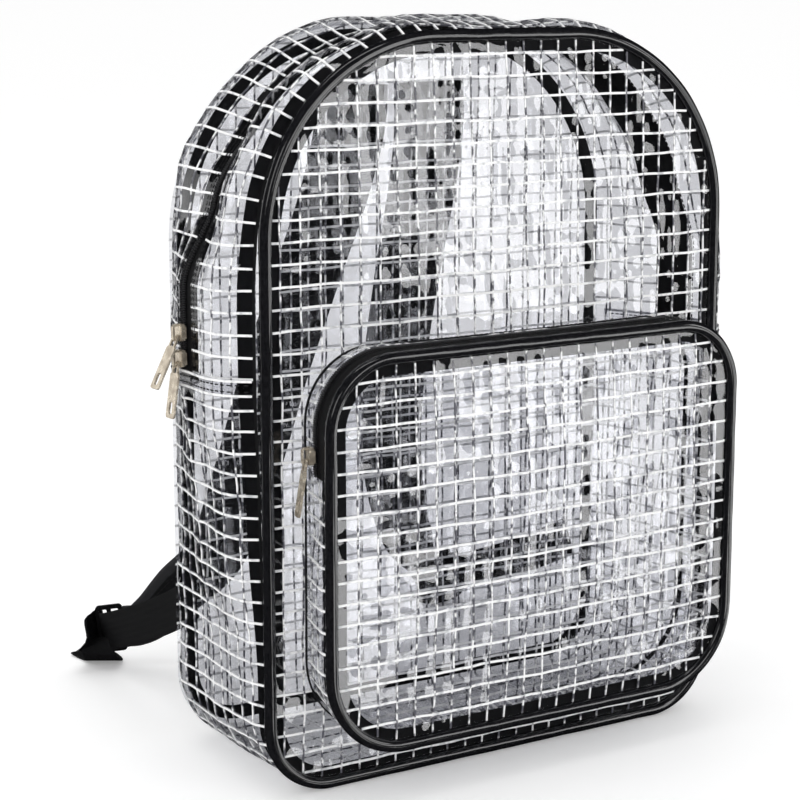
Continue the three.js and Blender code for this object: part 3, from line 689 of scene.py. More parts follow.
SIZE = BagSize()
BAG_OUTLINE = RoundedOutline(SIZE.width, SIZE.height, 111.0, 42.0)
BACK_OUTLINE = RoundedOutline(SIZE.width, SIZE.height, 124.0, 42.0)
POCKET_OUTLINE = RoundedOutline(279.0, 225.0, 42.0, 50.0, 30.0)
POCKET_FACE = -SIZE.depth / 2 - SIZE.pocket_depth
CELL = 12.0

GUSSET_ROUND = np.array([0.0, 0.2, 0.3, 0.45, 0.56, 0.63, 0.7, 0.78, 0.88, 1.0])
GUSSET_ZIP = np.array([0.0, 0.0, 0.03, 0.11, 0.17, 0.17, 0.01, -0.06, -0.05, 0.01])
GUSSET_FRONT = np.array([0.0, 0.0, 0.02, 0.05, 0.07, 0.07, 0.1, 0.12, 0.08, 0.03])
GUSSET_BACK = np.array([0.0, 0.0, 0.02, 0.0, 0.0, 0.0, 0.03, 0.05, 0.05, 0.03])


def eased(place: Array, stations: Array, values: Array) -> Array:
    """A table's column at places, eased between neighbouring rows."""
    row = np.clip(np.searchsorted(stations, place), 1, len(stations) - 1)
    low, high = stations[row - 1], stations[row]
    share = np.clip((place - low) / (high - low), 0, 1)
    share = share * share * (3 - 2 * share)
    return values[row - 1] * (1 - share) + values[row] * share


def crown_share(x: Array, z: Array, width: float, base: float, height: float) -> Array:
    """Share of a panel's crown: the product of two parabolas, 1 in the middle and 0 at the edges."""
    across = np.maximum(0, 1 - (2 * x / width) ** 2)
    up = np.maximum(0, 1 - (2 * (z - base - height / 2) / height) ** 2)
    return across * up


def front_face(x: Array, z: Array) -> Array:
    """Depth of the front panel's outer face."""
    return -SIZE.depth / 2 - SIZE.crown * crown_share(x, z, SIZE.width, 0, SIZE.height)


def back_face(x: Array, z: Array) -> Array:
    """Depth of the back panel's outer face."""
    return SIZE.depth / 2 + SIZE.crown / 2 * crown_share(x, z, SIZE.width, 0, SIZE.height)


def pocket_face(x: Array, z: Array) -> Array:
    """Depth of the pocket panel's outer face."""
    outline = POCKET_OUTLINE
    return POCKET_FACE - SIZE.pocket_crown * crown_share(x, z, outline.width, outline.base, outline.height)


def gusset_surface(share: Array, depth: Array) -> Array:
    """The gusset's outer face.

    A place lies between the front and the back outline by its share of the depth. It stands out by the
    swell of the film: the zip line's height times a power of the way to it, plus 1.7 times a leaning sine
    of that way. Near the front and back seams it is tucked in, and flat on the floor it does not stand out.

    Args:
        share: shares of the way round from the bottom's middle.
        depth: shares of the depth from the front.

    Returns:
        Points in millimetres.
    """
    front, back = BAG_OUTLINE.at(share), BACK_OUTLINE.at(share)
    x, z, nx, nz = (a * (1 - depth) + b * depth for a, b in zip(front, back))
    turn = share - np.floor(share)
    way_round = 2 * np.minimum(turn, 1 - turn)
    in_front = depth < SIZE.slot_back
    way = np.clip(np.where(in_front, depth / SIZE.slot_back, (1 - depth) / (1 - SIZE.slot_back)), 0, 1)
    zip_line = eased(way_round, GUSSET_ROUND, GUSSET_ZIP)
    bulge = np.where(
        in_front,
        eased(way_round, GUSSET_ROUND, GUSSET_FRONT),
        eased(way_round, GUSSET_ROUND, GUSSET_BACK),
    )
    ridge = np.where(in_front, way**0.6, way**1.15)
    swell = (zip_line * ridge + 1.7 * np.sin(way * np.pi) * (1 - way) * bulge) * SIZE.depth
    from_front = smoothstep(depth * SIZE.depth, SIZE.piping / 2, SIZE.tuck_reach)
    from_back = smoothstep((1 - depth) * SIZE.depth, 0, SIZE.tuck_reach)
    tuck = SIZE.front_tuck * (1 - from_front) + SIZE.back_tuck * (1 - from_back)
    out = (swell - SIZE.side_inset) * (1 + np.minimum(0, nz)) - tuck
    rise = SIZE.back_rise * depth * np.maximum(0, z / SIZE.height) ** 3
    return np.stack([x + nx * out, (depth - 0.5) * SIZE.depth, z + nz * out + rise], axis=-1)


def pocket_surface(share: Array, out_share: Array) -> Array:
    """The pocket gusset's outer face, from the front panel (0) to the pocket's piping (1).

    It flares out from the pocket's outline towards the front panel, and the tuck near the piping draws
    it in.

    Args:
        share: shares of the way round.
        out_share: shares of the way outward.

    Returns:
        Points in millimetres.
    """
    x, z, nx, nz = POCKET_OUTLINE.at(share)
    flare = SIZE.pocket_end_flare + (SIZE.pocket_flare - SIZE.pocket_end_flare) * np.abs(nx)
    settle = flare * (1 - out_share) + SIZE.pocket_tuck * smoothstep(out_share, 0.75, 1.0)
    x, z = x - nx * settle, z - nz * settle
    return np.stack([x, front_face(x, z) * (1 - out_share) + POCKET_FACE * out_share, z], axis=-1)


# Sheets that film, tape and thread follow

@dataclass(frozen=True)
class Relief:
    """How film stands off its plain surface: a low ridge over each yarn of the net, and slow waves."""

    seed: int = 1
    ridge: float = 0.2
    wave: float = 0.3
    longest: float = 110.0
    shortest: float = 26.0
    waves: int = 12
    draw_in: float = 9.0

    def height(self, a: Array, b: Array) -> Array:
        """Heights in millimetres.

        The ridges are a cosine across each family of yarns, and two slow fields make them higher and lower.
        Each wave is a sine along its own direction, and lower the shorter it is.

        Args:
            a: distances along the sheet.
            b: distances across it.

        Returns:
            Heights.
        """
        draw = np.random.default_rng(self.seed)
        upright = 0.6 + 0.6 * self._field(draw, a, b, 3 * CELL, 5)
        level = 0.4 + 0.5 * self._field(draw, a, b, 4 * CELL, 5)
        cells = upright * np.cos(2 * np.pi * a / CELL) + level * np.cos(2 * np.pi * b / CELL)
        total = self.ridge * (cells + 0.5 * self._field(draw, a, b, 1.6 * CELL, 7))
        lengths = np.geomspace(self.longest, self.shortest, self.waves)
        turns = draw.uniform(0, 2 * np.pi, self.waves)
        phases = draw.uniform(0, 2 * np.pi, self.waves)
        for length, turn, phase in zip(lengths, turns, phases):
            way = a * np.cos(turn) + b * np.sin(turn)
            total = total + self.wave * (length / self.longest) * np.sin(2 * np.pi * way / length + phase)
        return total

    @staticmethod
    def _field(draw: np.random.Generator, a: Array, b: Array, length: float, count: int) -> Array:
        """A smooth random field between about -1 and 1: the mean of sines in random directions."""
        total = 0.0
        for turn, phase, stretch in draw.uniform(0, 1, (count, 3)):
            angle = 2 * np.pi * turn
            way = (a * np.cos(angle) + b * np.sin(angle)) / (length * (0.7 + 0.6 * stretch))
            total = total + np.sin(2 * np.pi * (way + phase))
        return total / math.sqrt(count)


FLAT = Relief(ridge=0.0, wave=0.0)


@dataclass(frozen=True)
class Sheet:
    """A surface in millimetre coordinates along and across it."""

    relief: Relief = Relief()
    facing: float = 1.0

    def plain(self, a: Array, b: Array) -> Array:
        """Points of the surface without its relief."""
        raise NotImplementedError

    def inside(self, a: Array, b: Array) -> Array:
        """Millimetres to the nearest sewn border."""
        raise NotImplementedError

    def normal(self, a: Array, b: Array) -> Array:
        """Outward directions, from the difference of neighbouring points."""
        step = 0.5
        along = self.plain(a + step, b) - self.plain(a - step, b)
        over = self.plain(a, b + step) - self.plain(a, b - step)
        return unit(np.cross(over, along)) * self.facing

    def point(self, a: Array, b: Array, out: float | Array = 0.0) -> Array:
        """Points at a distance outward from the film's outer face.

        Where the surface faces the ground, its relief only rises off it.
        """
        weight = smoothstep(self.inside(a, b), 0.0, self.relief.draw_in)
        normal = self.normal(a, b)
        relief = self.relief.height(a, b) * weight
        resting = smoothstep(-normal[..., 2], 0.5, 0.9)
        lift = out + relief - resting * np.maximum(relief, 0)
        return self.plain(a, b) + normal * lift[..., None]

    def frames(self, a: Array, b: Array, out: float, turned: bool = False) -> Array:
        """Origins with along, across and outward directions, for pieces scattered on the sheet."""
        origin = self.point(a, b, out)
        outward_way = self.normal(a, b)
        if turned:
            along = self.plain(a, b + 0.5) - self.plain(a, b - 0.5)
        else:
            along = self.plain(a + 0.5, b) - self.plain(a - 0.5, b)
        along = unit(along)
        return np.stack([origin, along, np.cross(outward_way, along), outward_way], axis=1)


@dataclass(frozen=True)
class PanelSheet(Sheet):
    """A panel inside an outline, in x and z."""

    outline: RoundedOutline = BAG_OUTLINE
    face: Callable[[Array, Array], Array] = front_face
    rise: float = 0.0

    def plain(self, a: Array, b: Array) -> Array:
        """Points of the panel."""
        lift = self.rise * np.maximum(0, b / SIZE.height) ** 3
        return np.stack([a + 0 * b, self.face(a, b), b + lift + 0 * a], axis=-1)

    def inside(self, a: Array, b: Array) -> Array:
        """Millimetres to the outline."""
        return -self.outline.signed_distance(a, b)


@dataclass(frozen=True)
class RoundSheet(Sheet):
    """A strip round an outline: along is the way round, across the depth."""

    outline: RoundedOutline = BAG_OUTLINE
    surface: Surface = gusset_surface
    depth: float = SIZE.depth
    start: float = 0.0
    end: float = 1.0
    near: float = 0.0
    far: float = SIZE.depth

    def plain(self, a: Array, b: Array) -> Array:
        """Points of the strip."""
        a, b = np.broadcast_arrays(a, b)
        return self.surface(a / self.outline.perimeter, b / self.depth)

    def inside(self, a: Array, b: Array) -> Array:
        """Millimetres to the nearest of the four borders."""
        across = np.minimum(b - self.near, self.far - b)
        along = np.minimum(a - self.start, self.end - a)
        return np.minimum(across, along)


# Pieces made on sheets

def shell(name: str, outer: Array, inner: Array, faces: Array, finish: bpy.types.Material,
          uv: Array | None = None) -> bpy.types.Object:
    """A closed wall between two matching faces.

    Args:
        name: the piece's name.
        outer: the outer face's points in millimetres.
        inner: the inner face's points.
        faces: quads of the outer face.
        finish: its material.
        uv: a pair of millimetre coordinates for each outer point.

    Returns:
        The object.
    """
    used, compact = np.unique(faces, return_inverse=True)
    faces = compact.reshape(faces.shape)
    count = len(used)
    edges = np.stack([faces, np.roll(faces, -1, axis=1)], axis=-1).reshape(-1, 2)
    _, first, times = np.unique(np.sort(edges, axis=1), axis=0, return_index=True, return_counts=True)
    border = edges[first[times == 1]]
    walls = np.stack([border[:, 1], border[:, 0], border[:, 0] + count, border[:, 1] + count], axis=-1)
    closed = np.concatenate([faces, faces[:, ::-1] + count, walls])
    points = np.concatenate([outer[used], inner[used]])
    both_uv = None if uv is None else np.concatenate([uv[used], uv[used]])
    return make_object(name, points, outward(points, closed), finish, both_uv)


def strip(name: str, sheet: Sheet, a: Array, b: Array, outer: float, inner: float,
          finish: bpy.types.Material) -> bpy.types.Object:
    """A wall over a grid of a sheet's coordinates, with its UV map in millimetres."""
    grid_a, grid_b = np.meshgrid(a, b, indexing="ij")
    faces = grid_faces(len(a), len(b))
    uv = np.stack([grid_a, grid_b], axis=-1).reshape(-1, 2)
    outer_points = sheet.point(grid_a, grid_b, outer).reshape(-1, 3)
    inner_points = sheet.point(grid_a, grid_b, inner).reshape(-1, 3)
    return shell(name, outer_points, inner_points, faces, finish, uv)


def film_panel(name: str, sheet: PanelSheet, thickness: float, step: float,
               finish: bpy.types.Material) -> bpy.types.Object:
    """Film inside an outline: a square grid, whose outer places are drawn in to the outline."""
    outline = sheet.outline
    reach = math.ceil(outline.width / 2 / step) + 1
    columns = np.arange(-reach, reach + 1) * step
    low = math.floor(outline.base / step) - 1
    high = math.ceil((outline.base + outline.height) / step) + 1
    rows = np.arange(low, high + 1) * step
    x, z = np.meshgrid(columns, rows, indexing="ij")
    outside = outline.signed_distance(x, z) > -0.25 * step
    drawn_x, drawn_z = outline.drawn_in(x, z)
    x, z = np.where(outside, drawn_x, x), np.where(outside, drawn_z, z)
    faces = grid_faces(len(columns), len(rows))
    faces = faces[~outside.ravel()[faces].all(axis=1)]
    outer_points = sheet.point(x, z).reshape(-1, 3)
    inner_points = sheet.point(x, z, -thickness).reshape(-1, 3)
    return shell(name, outer_points, inner_points, faces, finish)


def ribbons(name: str, sheet: Sheet, lines: Array, width: float, thickness: float, out: float,
            finish: bpy.types.Material) -> bpy.types.Object:
    """Flat yarns along lines on a sheet.

    Args:
        name: the piece's name.
        sheet: the sheet that they follow.
        lines: coordinates along and across the sheet: lines, rows and two numbers.
        width: a yarn's width.
        thickness: a yarn's thickness.
        out: how far its middle stands outward from the film's outer face.
        finish: its material.

    Returns:
        The object.
    """
    count, rows = lines.shape[:2]
    centre = sheet.point(lines[..., 0], lines[..., 1], out)
    normal = sheet.normal(lines[..., 0], lines[..., 1])
    across = unit(np.cross(normal, np.gradient(centre, axis=1)))
    wide, thick = across * width / 2, normal * thickness / 2
    loops = np.stack([centre + wide + thick, centre - wide + thick,
                      centre - wide - thick, centre + wide - thick], axis=2)
    one = np.concatenate([
        grid_faces(rows, 4, False, True),
        end_faces(4)[:, ::-1],
        end_faces(4) + (rows - 1) * 4,
    ])
    one = outward(loops[0].reshape(-1, 3), one)
    faces = (one + np.arange(count)[:, None, None] * rows * 4).reshape(-1, 4)
    return make_object(name, loops.reshape(-1, 3), faces, finish, smooth=False)


def wavering(lines: Array, side: int, seed: int, reach: float = 0.28) -> Array:
    """Lines with a slow waver to one side, as loose yarns lie: two sines along each, each with its phase."""
    draw = np.random.default_rng(seed)
    phases = draw.uniform(0, 2 * np.pi, (2, len(lines), 1))
    way = lines[..., 1 - side]
    waver = np.sin(way * 2 * np.pi / 71 + phases[0]) + 0.45 * np.sin(way * 2 * np.pi / 26 + phases[1])
    moved = lines.copy()
    moved[..., side] += waver * reach
    return moved


def panel_lines(sheet: PanelSheet, seed: int) -> list[Array]:
    """The net's two families of lines inside a panel."""
    outline = sheet.outline
    half = int((outline.width / 2 - 2) // CELL)
    x = np.arange(-half, half + 1) * CELL
    low, high = outline.span_at(x)
    rows = np.linspace(0, 1, int(outline.height / 3.2))
    upright = np.stack([
        np.broadcast_to(x[:, None], (len(x), len(rows))),
        low[:, None] + (high - low)[:, None] * rows,
    ], axis=-1)
    first = math.ceil((outline.base + 2) / CELL)
    last = int((outline.base + outline.height - 2) // CELL)
    z = np.arange(first, last + 1) * CELL
    reach = outline.half_width(z)
    rows = np.linspace(-1, 1, int(outline.width / 3.2))
    level = np.stack([reach[:, None] * rows, np.broadcast_to(z[:, None], (len(z), len(rows)))], axis=-1)
    return [wavering(upright, 0, seed), wavering(level, 1, seed + 1)]


def round_lines(sheet: RoundSheet, seed: int, slant: float = 0.0) -> list[Array]:
    """The net's two families of lines on a strip, along it and across it.

    Args:
        sheet: the strip.
        seed: for the waver.
        slant: millimetres along the strip that a crossing line moves for each millimetre across.

    Returns:
        The two families.
    """
    length, width = sheet.end - sheet.start, sheet.far - sheet.near
    b = np.arange(math.ceil((sheet.near + 1) / CELL), int((sheet.far - 1) // CELL) + 1) * CELL
    rows = np.linspace(sheet.start, sheet.end, int(length / 3.2))
    along = np.stack([
        np.broadcast_to(rows, (len(b), len(rows))),
        np.broadcast_to(b[:, None], (len(b), len(rows))),
    ], axis=-1)
    a = np.arange(math.ceil((sheet.start + 1) / CELL), int((sheet.end - 1) // CELL) + 1) * CELL
    rows = np.linspace(sheet.near, sheet.far, max(6, int(width / 3.2)))
    crossing = np.stack([
        np.clip(a[:, None] + slant * (rows - sheet.near), sheet.start, sheet.end),
        np.broadcast_to(rows, (len(a), len(rows))),
    ], axis=-1)
    return [wavering(along, 1, seed), wavering(crossing, 0, seed + 1)]


def capsule(length: float, width: float, height: float) -> Array:
    """A short rounded stitch or tooth along its first axis: six-sided loops, smaller at the ends."""
    angle = (np.arange(6) + 0.5) * np.pi / 3
    places = np.array([-0.5, -0.32, 0.32, 0.5]) * length
    sizes = np.array([0.35, 1.0, 1.0, 0.35])
    return np.stack([
        np.broadcast_to(places[:, None], (4, 6)),
        sizes[:, None] * np.cos(angle) * width / 2,
        sizes[:, None] * np.sin(angle) * height / 2,
    ], axis=-1)


# Pieces that ride on the bag

WARP_WIDTH = 0.95
WEFT_WIDTH = 1.3
YARN_THICKNESS = 0.7
FILM_THICKNESS = 0.5
FILM_STEP = 2.0
GUSSET_STEP = 3.0
STITCH = capsule(2.6, 0.85, 0.6)
STITCH_PITCH = 3.3


@dataclass
class Assembly:
    """A group of pieces that ride on the bag."""

    finishes: Finishes
    made: list[bpy.types.Object] = field(default_factory=list)

    def keep(self, piece: bpy.types.Object, slot: str | None, *nodes: str) -> bpy.types.Object:
        """Lets a piece ride on the bag.

        Args:
            piece: the object.
            slot: the record's material slot, if it has one; not used.
            nodes: the CAD nodes that it stands for.

        Returns:
            The object.
        """
        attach(piece, BAG_BODY)
        if nodes:
            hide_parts(*nodes)
        self.made.append(piece)
        LOG.info("%s: %d faces", piece.name, len(piece.data.polygons))
        return piece

    def net(self, name: str, sheet: Sheet, lines: list[Array]) -> None:
        """Makes a net's warp and weft, sealed in the film of a sheet."""
        finishes = self.finishes
        yarns = (("warp", WARP_WIDTH, finishes.warp), ("weft", WEFT_WIDTH, finishes.weft))
        for (family, width, finish), family_lines in zip(yarns, lines):
            piece = ribbons(
                f"{name}_{family}", sheet, family_lines, width, YARN_THICKNESS, -FILM_THICKNESS / 2, finish
            )
            self.keep(piece, None)

    def build(self) -> None:
        """Makes the pieces."""
        raise NotImplementedError


@dataclass
class NettedPanel(Assembly):
    """A film panel with its net and the dark seam allowance behind its edge."""

    name: str = "front_panel"
    sheet: PanelSheet = PanelSheet()
    seed: int = 1
    allowance: float = 5.5

    def build(self) -> None:
        """Makes the film, the net and the allowance."""
        film = film_panel(f"{self.name}_film", self.sheet, FILM_THICKNESS, FILM_STEP, self.finishes.film)
        self.keep(film, "clear_film", self.name)
        self.net(self.name, self.sheet, panel_lines(self.sheet, self.seed))
        if self.allowance:
            self.keep(self._allowance(), "black_tape")

    def _allowance(self) -> bpy.types.Object:
        """A flat ring just behind the film, from the seam inward."""
        shares = np.linspace(0, 1, 361)[:-1]
        corners = [(-1.5, -1.0), (self.allowance, -1.0), (self.allowance, -1.6), (-1.5, -1.6)]
        loops, uv = [], []
        for inward, out in corners:
            x, z, _, _ = self.sheet.outline.inset(inward).at(shares)
            loops.append(self.sheet.plain(x, z) + self.sheet.normal(x, z) * out)
            along = shares * self.sheet.outline.perimeter
            uv.append(np.stack([along, np.full_like(shares, inward + out)], axis=-1))
        corners, places = np.stack(loops, axis=1), np.stack(uv, axis=1)
        return loft(f"{self.name}_allowance", corners, self.finishes.binding, True, places)


@dataclass
class NettedStrip(Assembly):
    """A film strip round an outline, with its net."""

    name: str = "lower_gusset"
    sheet: RoundSheet = RoundSheet()
    seed: int = 1
    slant: float = 0.0

    def build(self) -> None:
        """Makes the film and the net."""
        sheet = self.sheet
        a = self._places(sheet.start, sheet.end)
        b = self._places(sheet.near, sheet.far)
        film = strip(f"{self.name}_film", sheet, a, b, 0.0, -FILM_THICKNESS, self.finishes.film)
        self.keep(film, "clear_film", self.name)
        self.net(self.name, sheet, round_lines(sheet, self.seed, self.slant))

    @staticmethod
    def _places(start: float, end: float) -> Array:
        """The net's steps between two borders, with both borders."""
        steps = np.arange(math.ceil(start / GUSSET_STEP), math.floor(end / GUSSET_STEP) + 1) * GUSSET_STEP
        clear = (steps > start + 0.8) & (steps < end - 0.8)
        return np.concatenate([[start], steps[clear], [end]])


@dataclass
class Piping(Assembly):
    """A glossy tube round an outline."""

    name: str = "front_piping"
    outline: RoundedOutline = BAG_OUTLINE.inset(SIZE.piping / 2)
    depth: float = -SIZE.depth / 2
    stations: int = 420
    sides: int = 16

    def build(self) -> None:
        """Makes the tube: circles across the outline."""
        shares = np.linspace(0, 1, self.stations + 1)[:-1]
        x, z, nx, nz = self.outline.at(shares)
        angle = np.arange(self.sides) * 2 * np.pi / self.sides
        way = shares * self.outline.perimeter
        radius = SIZE.piping / 2 * (1 + 0.02 * np.sin(way / 9.0) + 0.015 * np.sin(way / 4.3))
        out = radius[:, None] * np.cos(angle)
        loops = np.stack([
            x[:, None] + nx[:, None] * out,
            self.depth + radius[:, None] * np.sin(angle),
            z[:, None] + nz[:, None] * out,
        ], axis=-1)
        self.keep(loft(self.name, loops, self.finishes.piping, True), "black_piping", self.name)


BINDING_SECTION = np.array([
    (0, 0.4), (-0.4, 0), (-7.6, 0), (-8, 0.4), (-8, 2), (-7.6, 2.4), (-0.4, 2.4), (0, 2),
])
BINDING_INSET = 6.8
BINDING_DEPTH = 53.8
ALLOWANCE_WIDTH = 5.5
TAPE_THICKNESS = 0.6
TOOTH_SECTION = (1.0, 1.5)


@dataclass
class Gusset(Assembly):
    """The gusset's three film strips, its seam allowance, side seams and the back binding."""

    side_seam: float = 10.0

    @property
    def seam(self) -> float:
        """Millimetres from the bottom's middle to the side seams."""
        return BAG_OUTLINE.share_at_height(SIZE.seam_height) * BAG_OUTLINE.perimeter

    def build(self) -> None:
        """Makes the strips and what is sewn to them."""
        around = BAG_OUTLINE.perimeter
        front, back = SIZE.piping / 2 + 0.3, SIZE.depth - 1.5
        slot_front = SIZE.depth / 2 - SIZE.slot_front
        slot_back = SIZE.slot_back * SIZE.depth
        crinkled = Relief(seed=21, wave=0.55, shortest=30, waves=10)
        calm = Relief(seed=12, wave=0.6, longest=130, shortest=30)
        lower = RoundSheet(calm, 1.0, start=-self.seam, end=self.seam, near=front, far=back)
        top_end = around - self.seam
        ahead = RoundSheet(crinkled, 1.0, start=self.seam, end=top_end, near=front, far=slot_front)
        behind = RoundSheet(crinkled, 1.0, start=self.seam, end=top_end, near=slot_back, far=back)
        NettedStrip(self.finishes, name="lower_gusset", sheet=lower, seed=31).build()
        NettedStrip(self.finishes, name="upper_gusset_front", sheet=ahead, seed=41).build()
        NettedStrip(self.finishes, name="upper_gusset_back", sheet=behind, seed=51).build()
        self._allowance(front)
        self._side_seam("side_seam_right", self.seam, back)
        self._side_seam("side_seam_left", top_end, back)
        self._binding()

    def _allowance(self, front: float) -> None:
        """The dark seam allowance inside the gusset's front edge."""
        sheet = RoundSheet(FLAT, 1.0)
        a = np.linspace(0, BAG_OUTLINE.perimeter, 361)
        b = np.linspace(front - 1, front + ALLOWANCE_WIDTH, 4)
        piece = strip("gusset_allowance", sheet, a, b, -1.0, -1.0 - TAPE_THICKNESS, self.finishes.binding)
        self.keep(piece, "black_tape")

    def _side_seam(self, name: str, middle: float, back: float) -> None:
        """An overlapped strip of film with two rows of stitches and two yarns."""
        half = self.side_seam / 2
        sheet = RoundSheet(FLAT, 1.0, start=middle - half, end=middle + half, near=4, far=back - 5)
        a = np.linspace(middle - half, middle + half, 5)
        b = np.linspace(sheet.near, sheet.far, 40)
        self.keep(strip(name, sheet, a, b, 1.3, 0.7, self.finishes.film), "clear_film", name)
        rows = np.linspace(sheet.near, sheet.far, 40)
        yarns = np.stack([
            np.stack([np.full_like(rows, middle + off), rows], axis=-1) for off in (-half + 1, half - 1)
        ])
        self.keep(ribbons(f"{name}_yarns", sheet, yarns, WEFT_WIDTH, 0.3, 1.35, self.finishes.weft), None)
        places = np.arange(sheet.near + 2, sheet.far - 2, STITCH_PITCH)
        frames = np.concatenate([
            sheet.frames(np.full_like(places, middle + off), places, 1.4, True) for off in (-1.8, 1.8)
        ])
        self.keep(scatter(f"{name}_stitches", STITCH, frames, self.finishes.sewing), "black_tape")

    def _binding(self) -> None:
        """The bound seam allowance inside the back edge: a flat rounded ring."""
        shares = np.linspace(0, 1, 361)[:-1]
        x, z, nx, nz = BACK_OUTLINE.at(shares)
        corners = BINDING_SECTION
        off = corners[:, 0] - BINDING_INSET
        px = x[:, None] + nx[:, None] * off
        pz = z[:, None] + nz[:, None] * off
        rise = SIZE.back_rise * np.maximum(0, pz / SIZE.height) ** 3
        y = np.broadcast_to(BINDING_DEPTH + corners[:, 1], px.shape)
        loops = np.stack([px, y, pz + rise], axis=-1)
        along = (shares * BACK_OUTLINE.perimeter)[:, None]
        uv = np.stack(np.broadcast_arrays(along, corners[:, 0]), axis=-1)
        piece = loft("back_binding", loops, self.finishes.binding, True, uv)
        self.keep(piece, "black_tape", "back_binding")


@dataclass
class Zip(Assembly):
    """A coil zip: tape, two rows of teeth and rows of stitches along the tape."""

    name: str = "main_zip"
    sheet: RoundSheet = RoundSheet()
    middle: float = SIZE.depth / 2
    coil_from: float = 0.0
    coil_to: float = 1.0
    tape_near: float = 0.0
    tape_far: float = 1.0
    tape_top: float = -0.8
    coil_height: float = 0.0
    stitch_rows: tuple[float, ...] = ()
    pitch: float = 1.3
    tooth: float = 2.5

    def build(self) -> None:
        """Makes the zip."""
        sheet = self.sheet
        count = int((sheet.end - sheet.start) / 3)
        a = np.linspace(sheet.start, sheet.end, count)
        b = np.linspace(self.tape_near, self.tape_far, 9)
        lower = self.tape_top - TAPE_THICKNESS
        tape = strip(f"{self.name}_tape", sheet, a, b, self.tape_top, lower, self.finishes.tape)
        self.keep(tape, "black_tape", f"{self.name}_tape")
        places = np.arange(self.coil_from, self.coil_to, self.pitch)
        rows = [(np.full_like(places, self.middle + side * self.tooth / 2), shift)
                for side, shift in ((-1, 0.0), (1, self.pitch / 2))]
        teeth = np.concatenate([
            sheet.frames(places + shift, row, self.coil_height, True) for row, shift in rows
        ])
        tooth = capsule(self.tooth * 1.12, *TOOTH_SECTION)
        piece = scatter(f"{self.name}_coil", tooth, teeth, self.finishes.coil)
        self.keep(piece, "black_coil", f"{self.name}_coil")
        stitches = np.arange(sheet.start + 3, sheet.end - 3, STITCH_PITCH)
        frames = np.concatenate([
            sheet.frames(stitches, np.full_like(stitches, row), 0.2) for row in self.stitch_rows
        ])
        self.keep(scatter(f"{self.name}_stitches", STITCH, frames, self.finishes.sewing), "black_tape")


@dataclass
class Pocket(Assembly):
    """The front pocket: panel, piping, gusset, zip and the sewn line round its base."""

    def build(self) -> None:
        """Makes the pocket."""
        around = POCKET_OUTLINE.perimeter
        inner = POCKET_OUTLINE.inset(SIZE.piping + 0.3)
        panel = PanelSheet(Relief(seed=5, wave=0.22), -1.0, inner, pocket_face)
        NettedPanel(self.finishes, name="pocket_panel", sheet=panel, seed=61).build()
        cord = POCKET_OUTLINE.inset(SIZE.piping / 2)
        Piping(self.finishes, name="pocket_piping", outline=cord, depth=POCKET_FACE).build()
        base, edge = 1.0, SIZE.pocket_depth - SIZE.piping / 2 - 0.6
        slot = edge - SIZE.pocket_tape
        end = POCKET_OUTLINE.share_at_height(SIZE.pocket_zip_end) * around
        calm = Relief(seed=8, ridge=0.15, wave=0.4, draw_in=5.0)
        form = (-1.0, POCKET_OUTLINE, pocket_surface, SIZE.pocket_depth)
        lower = RoundSheet(calm, *form, -end, end, base, edge)
        NettedStrip(self.finishes, name="pocket_gusset_lower", sheet=lower, seed=71).build()
        upper = RoundSheet(calm, *form, end, around - end, base, slot)
        NettedStrip(self.finishes, name="pocket_gusset_upper", sheet=upper, seed=81).build()
        flat = RoundSheet(FLAT, *form, end, around - end, slot, edge)
        Zip(
            self.finishes,
            name="pocket_zip",
            sheet=flat,
            middle=slot + 3.3,
            coil_from=end + 1,
            coil_to=around - end - 1,
            tape_near=slot + 0.3,
            tape_far=edge,
            tape_top=-0.2,
            coil_height=0.9,
            stitch_rows=(slot + 7.5,),
        ).build()
        self._base_line(around)
        self._allowance(around, edge)

    def _base_line(self, around: float) -> None:
        """The folded black band and stitches where the pocket meets the front panel."""
        plain = RoundSheet(FLAT, -1.0, POCKET_OUTLINE, pocket_surface, SIZE.pocket_depth)
        a = np.linspace(0, around, 361)
        b = np.linspace(0.6, 3.4, 3)
        band = strip("pocket_base_band", plain, a, b, 0.75, 0.15, self.finishes.binding)
        self.keep(band, "black_tape")
        places = np.arange(0, around, STITCH_PITCH)
        frames = plain.frames(places, np.full_like(places, 2.0), 0.85)
        self.keep(scatter("pocket_base_stitches", STITCH, frames, self.finishes.sewing), "black_tape")

    def _allowance(self, around: float, edge: float) -> None:
        """The dark seam allowance inside the lower gusset's front edge."""
        plain = RoundSheet(FLAT, -1.0, POCKET_OUTLINE, pocket_surface, SIZE.pocket_depth)
        a = np.linspace(0, around, 361)
        b = np.linspace(edge - ALLOWANCE_WIDTH, edge + 0.6, 4)
        inner = -1.3 - TAPE_THICKNESS
        band = strip("pocket_gusset_allowance", plain, a, b, -1.3, inner, self.finishes.binding)
        self.keep(band, "black_tape")


# Bands along lines in space

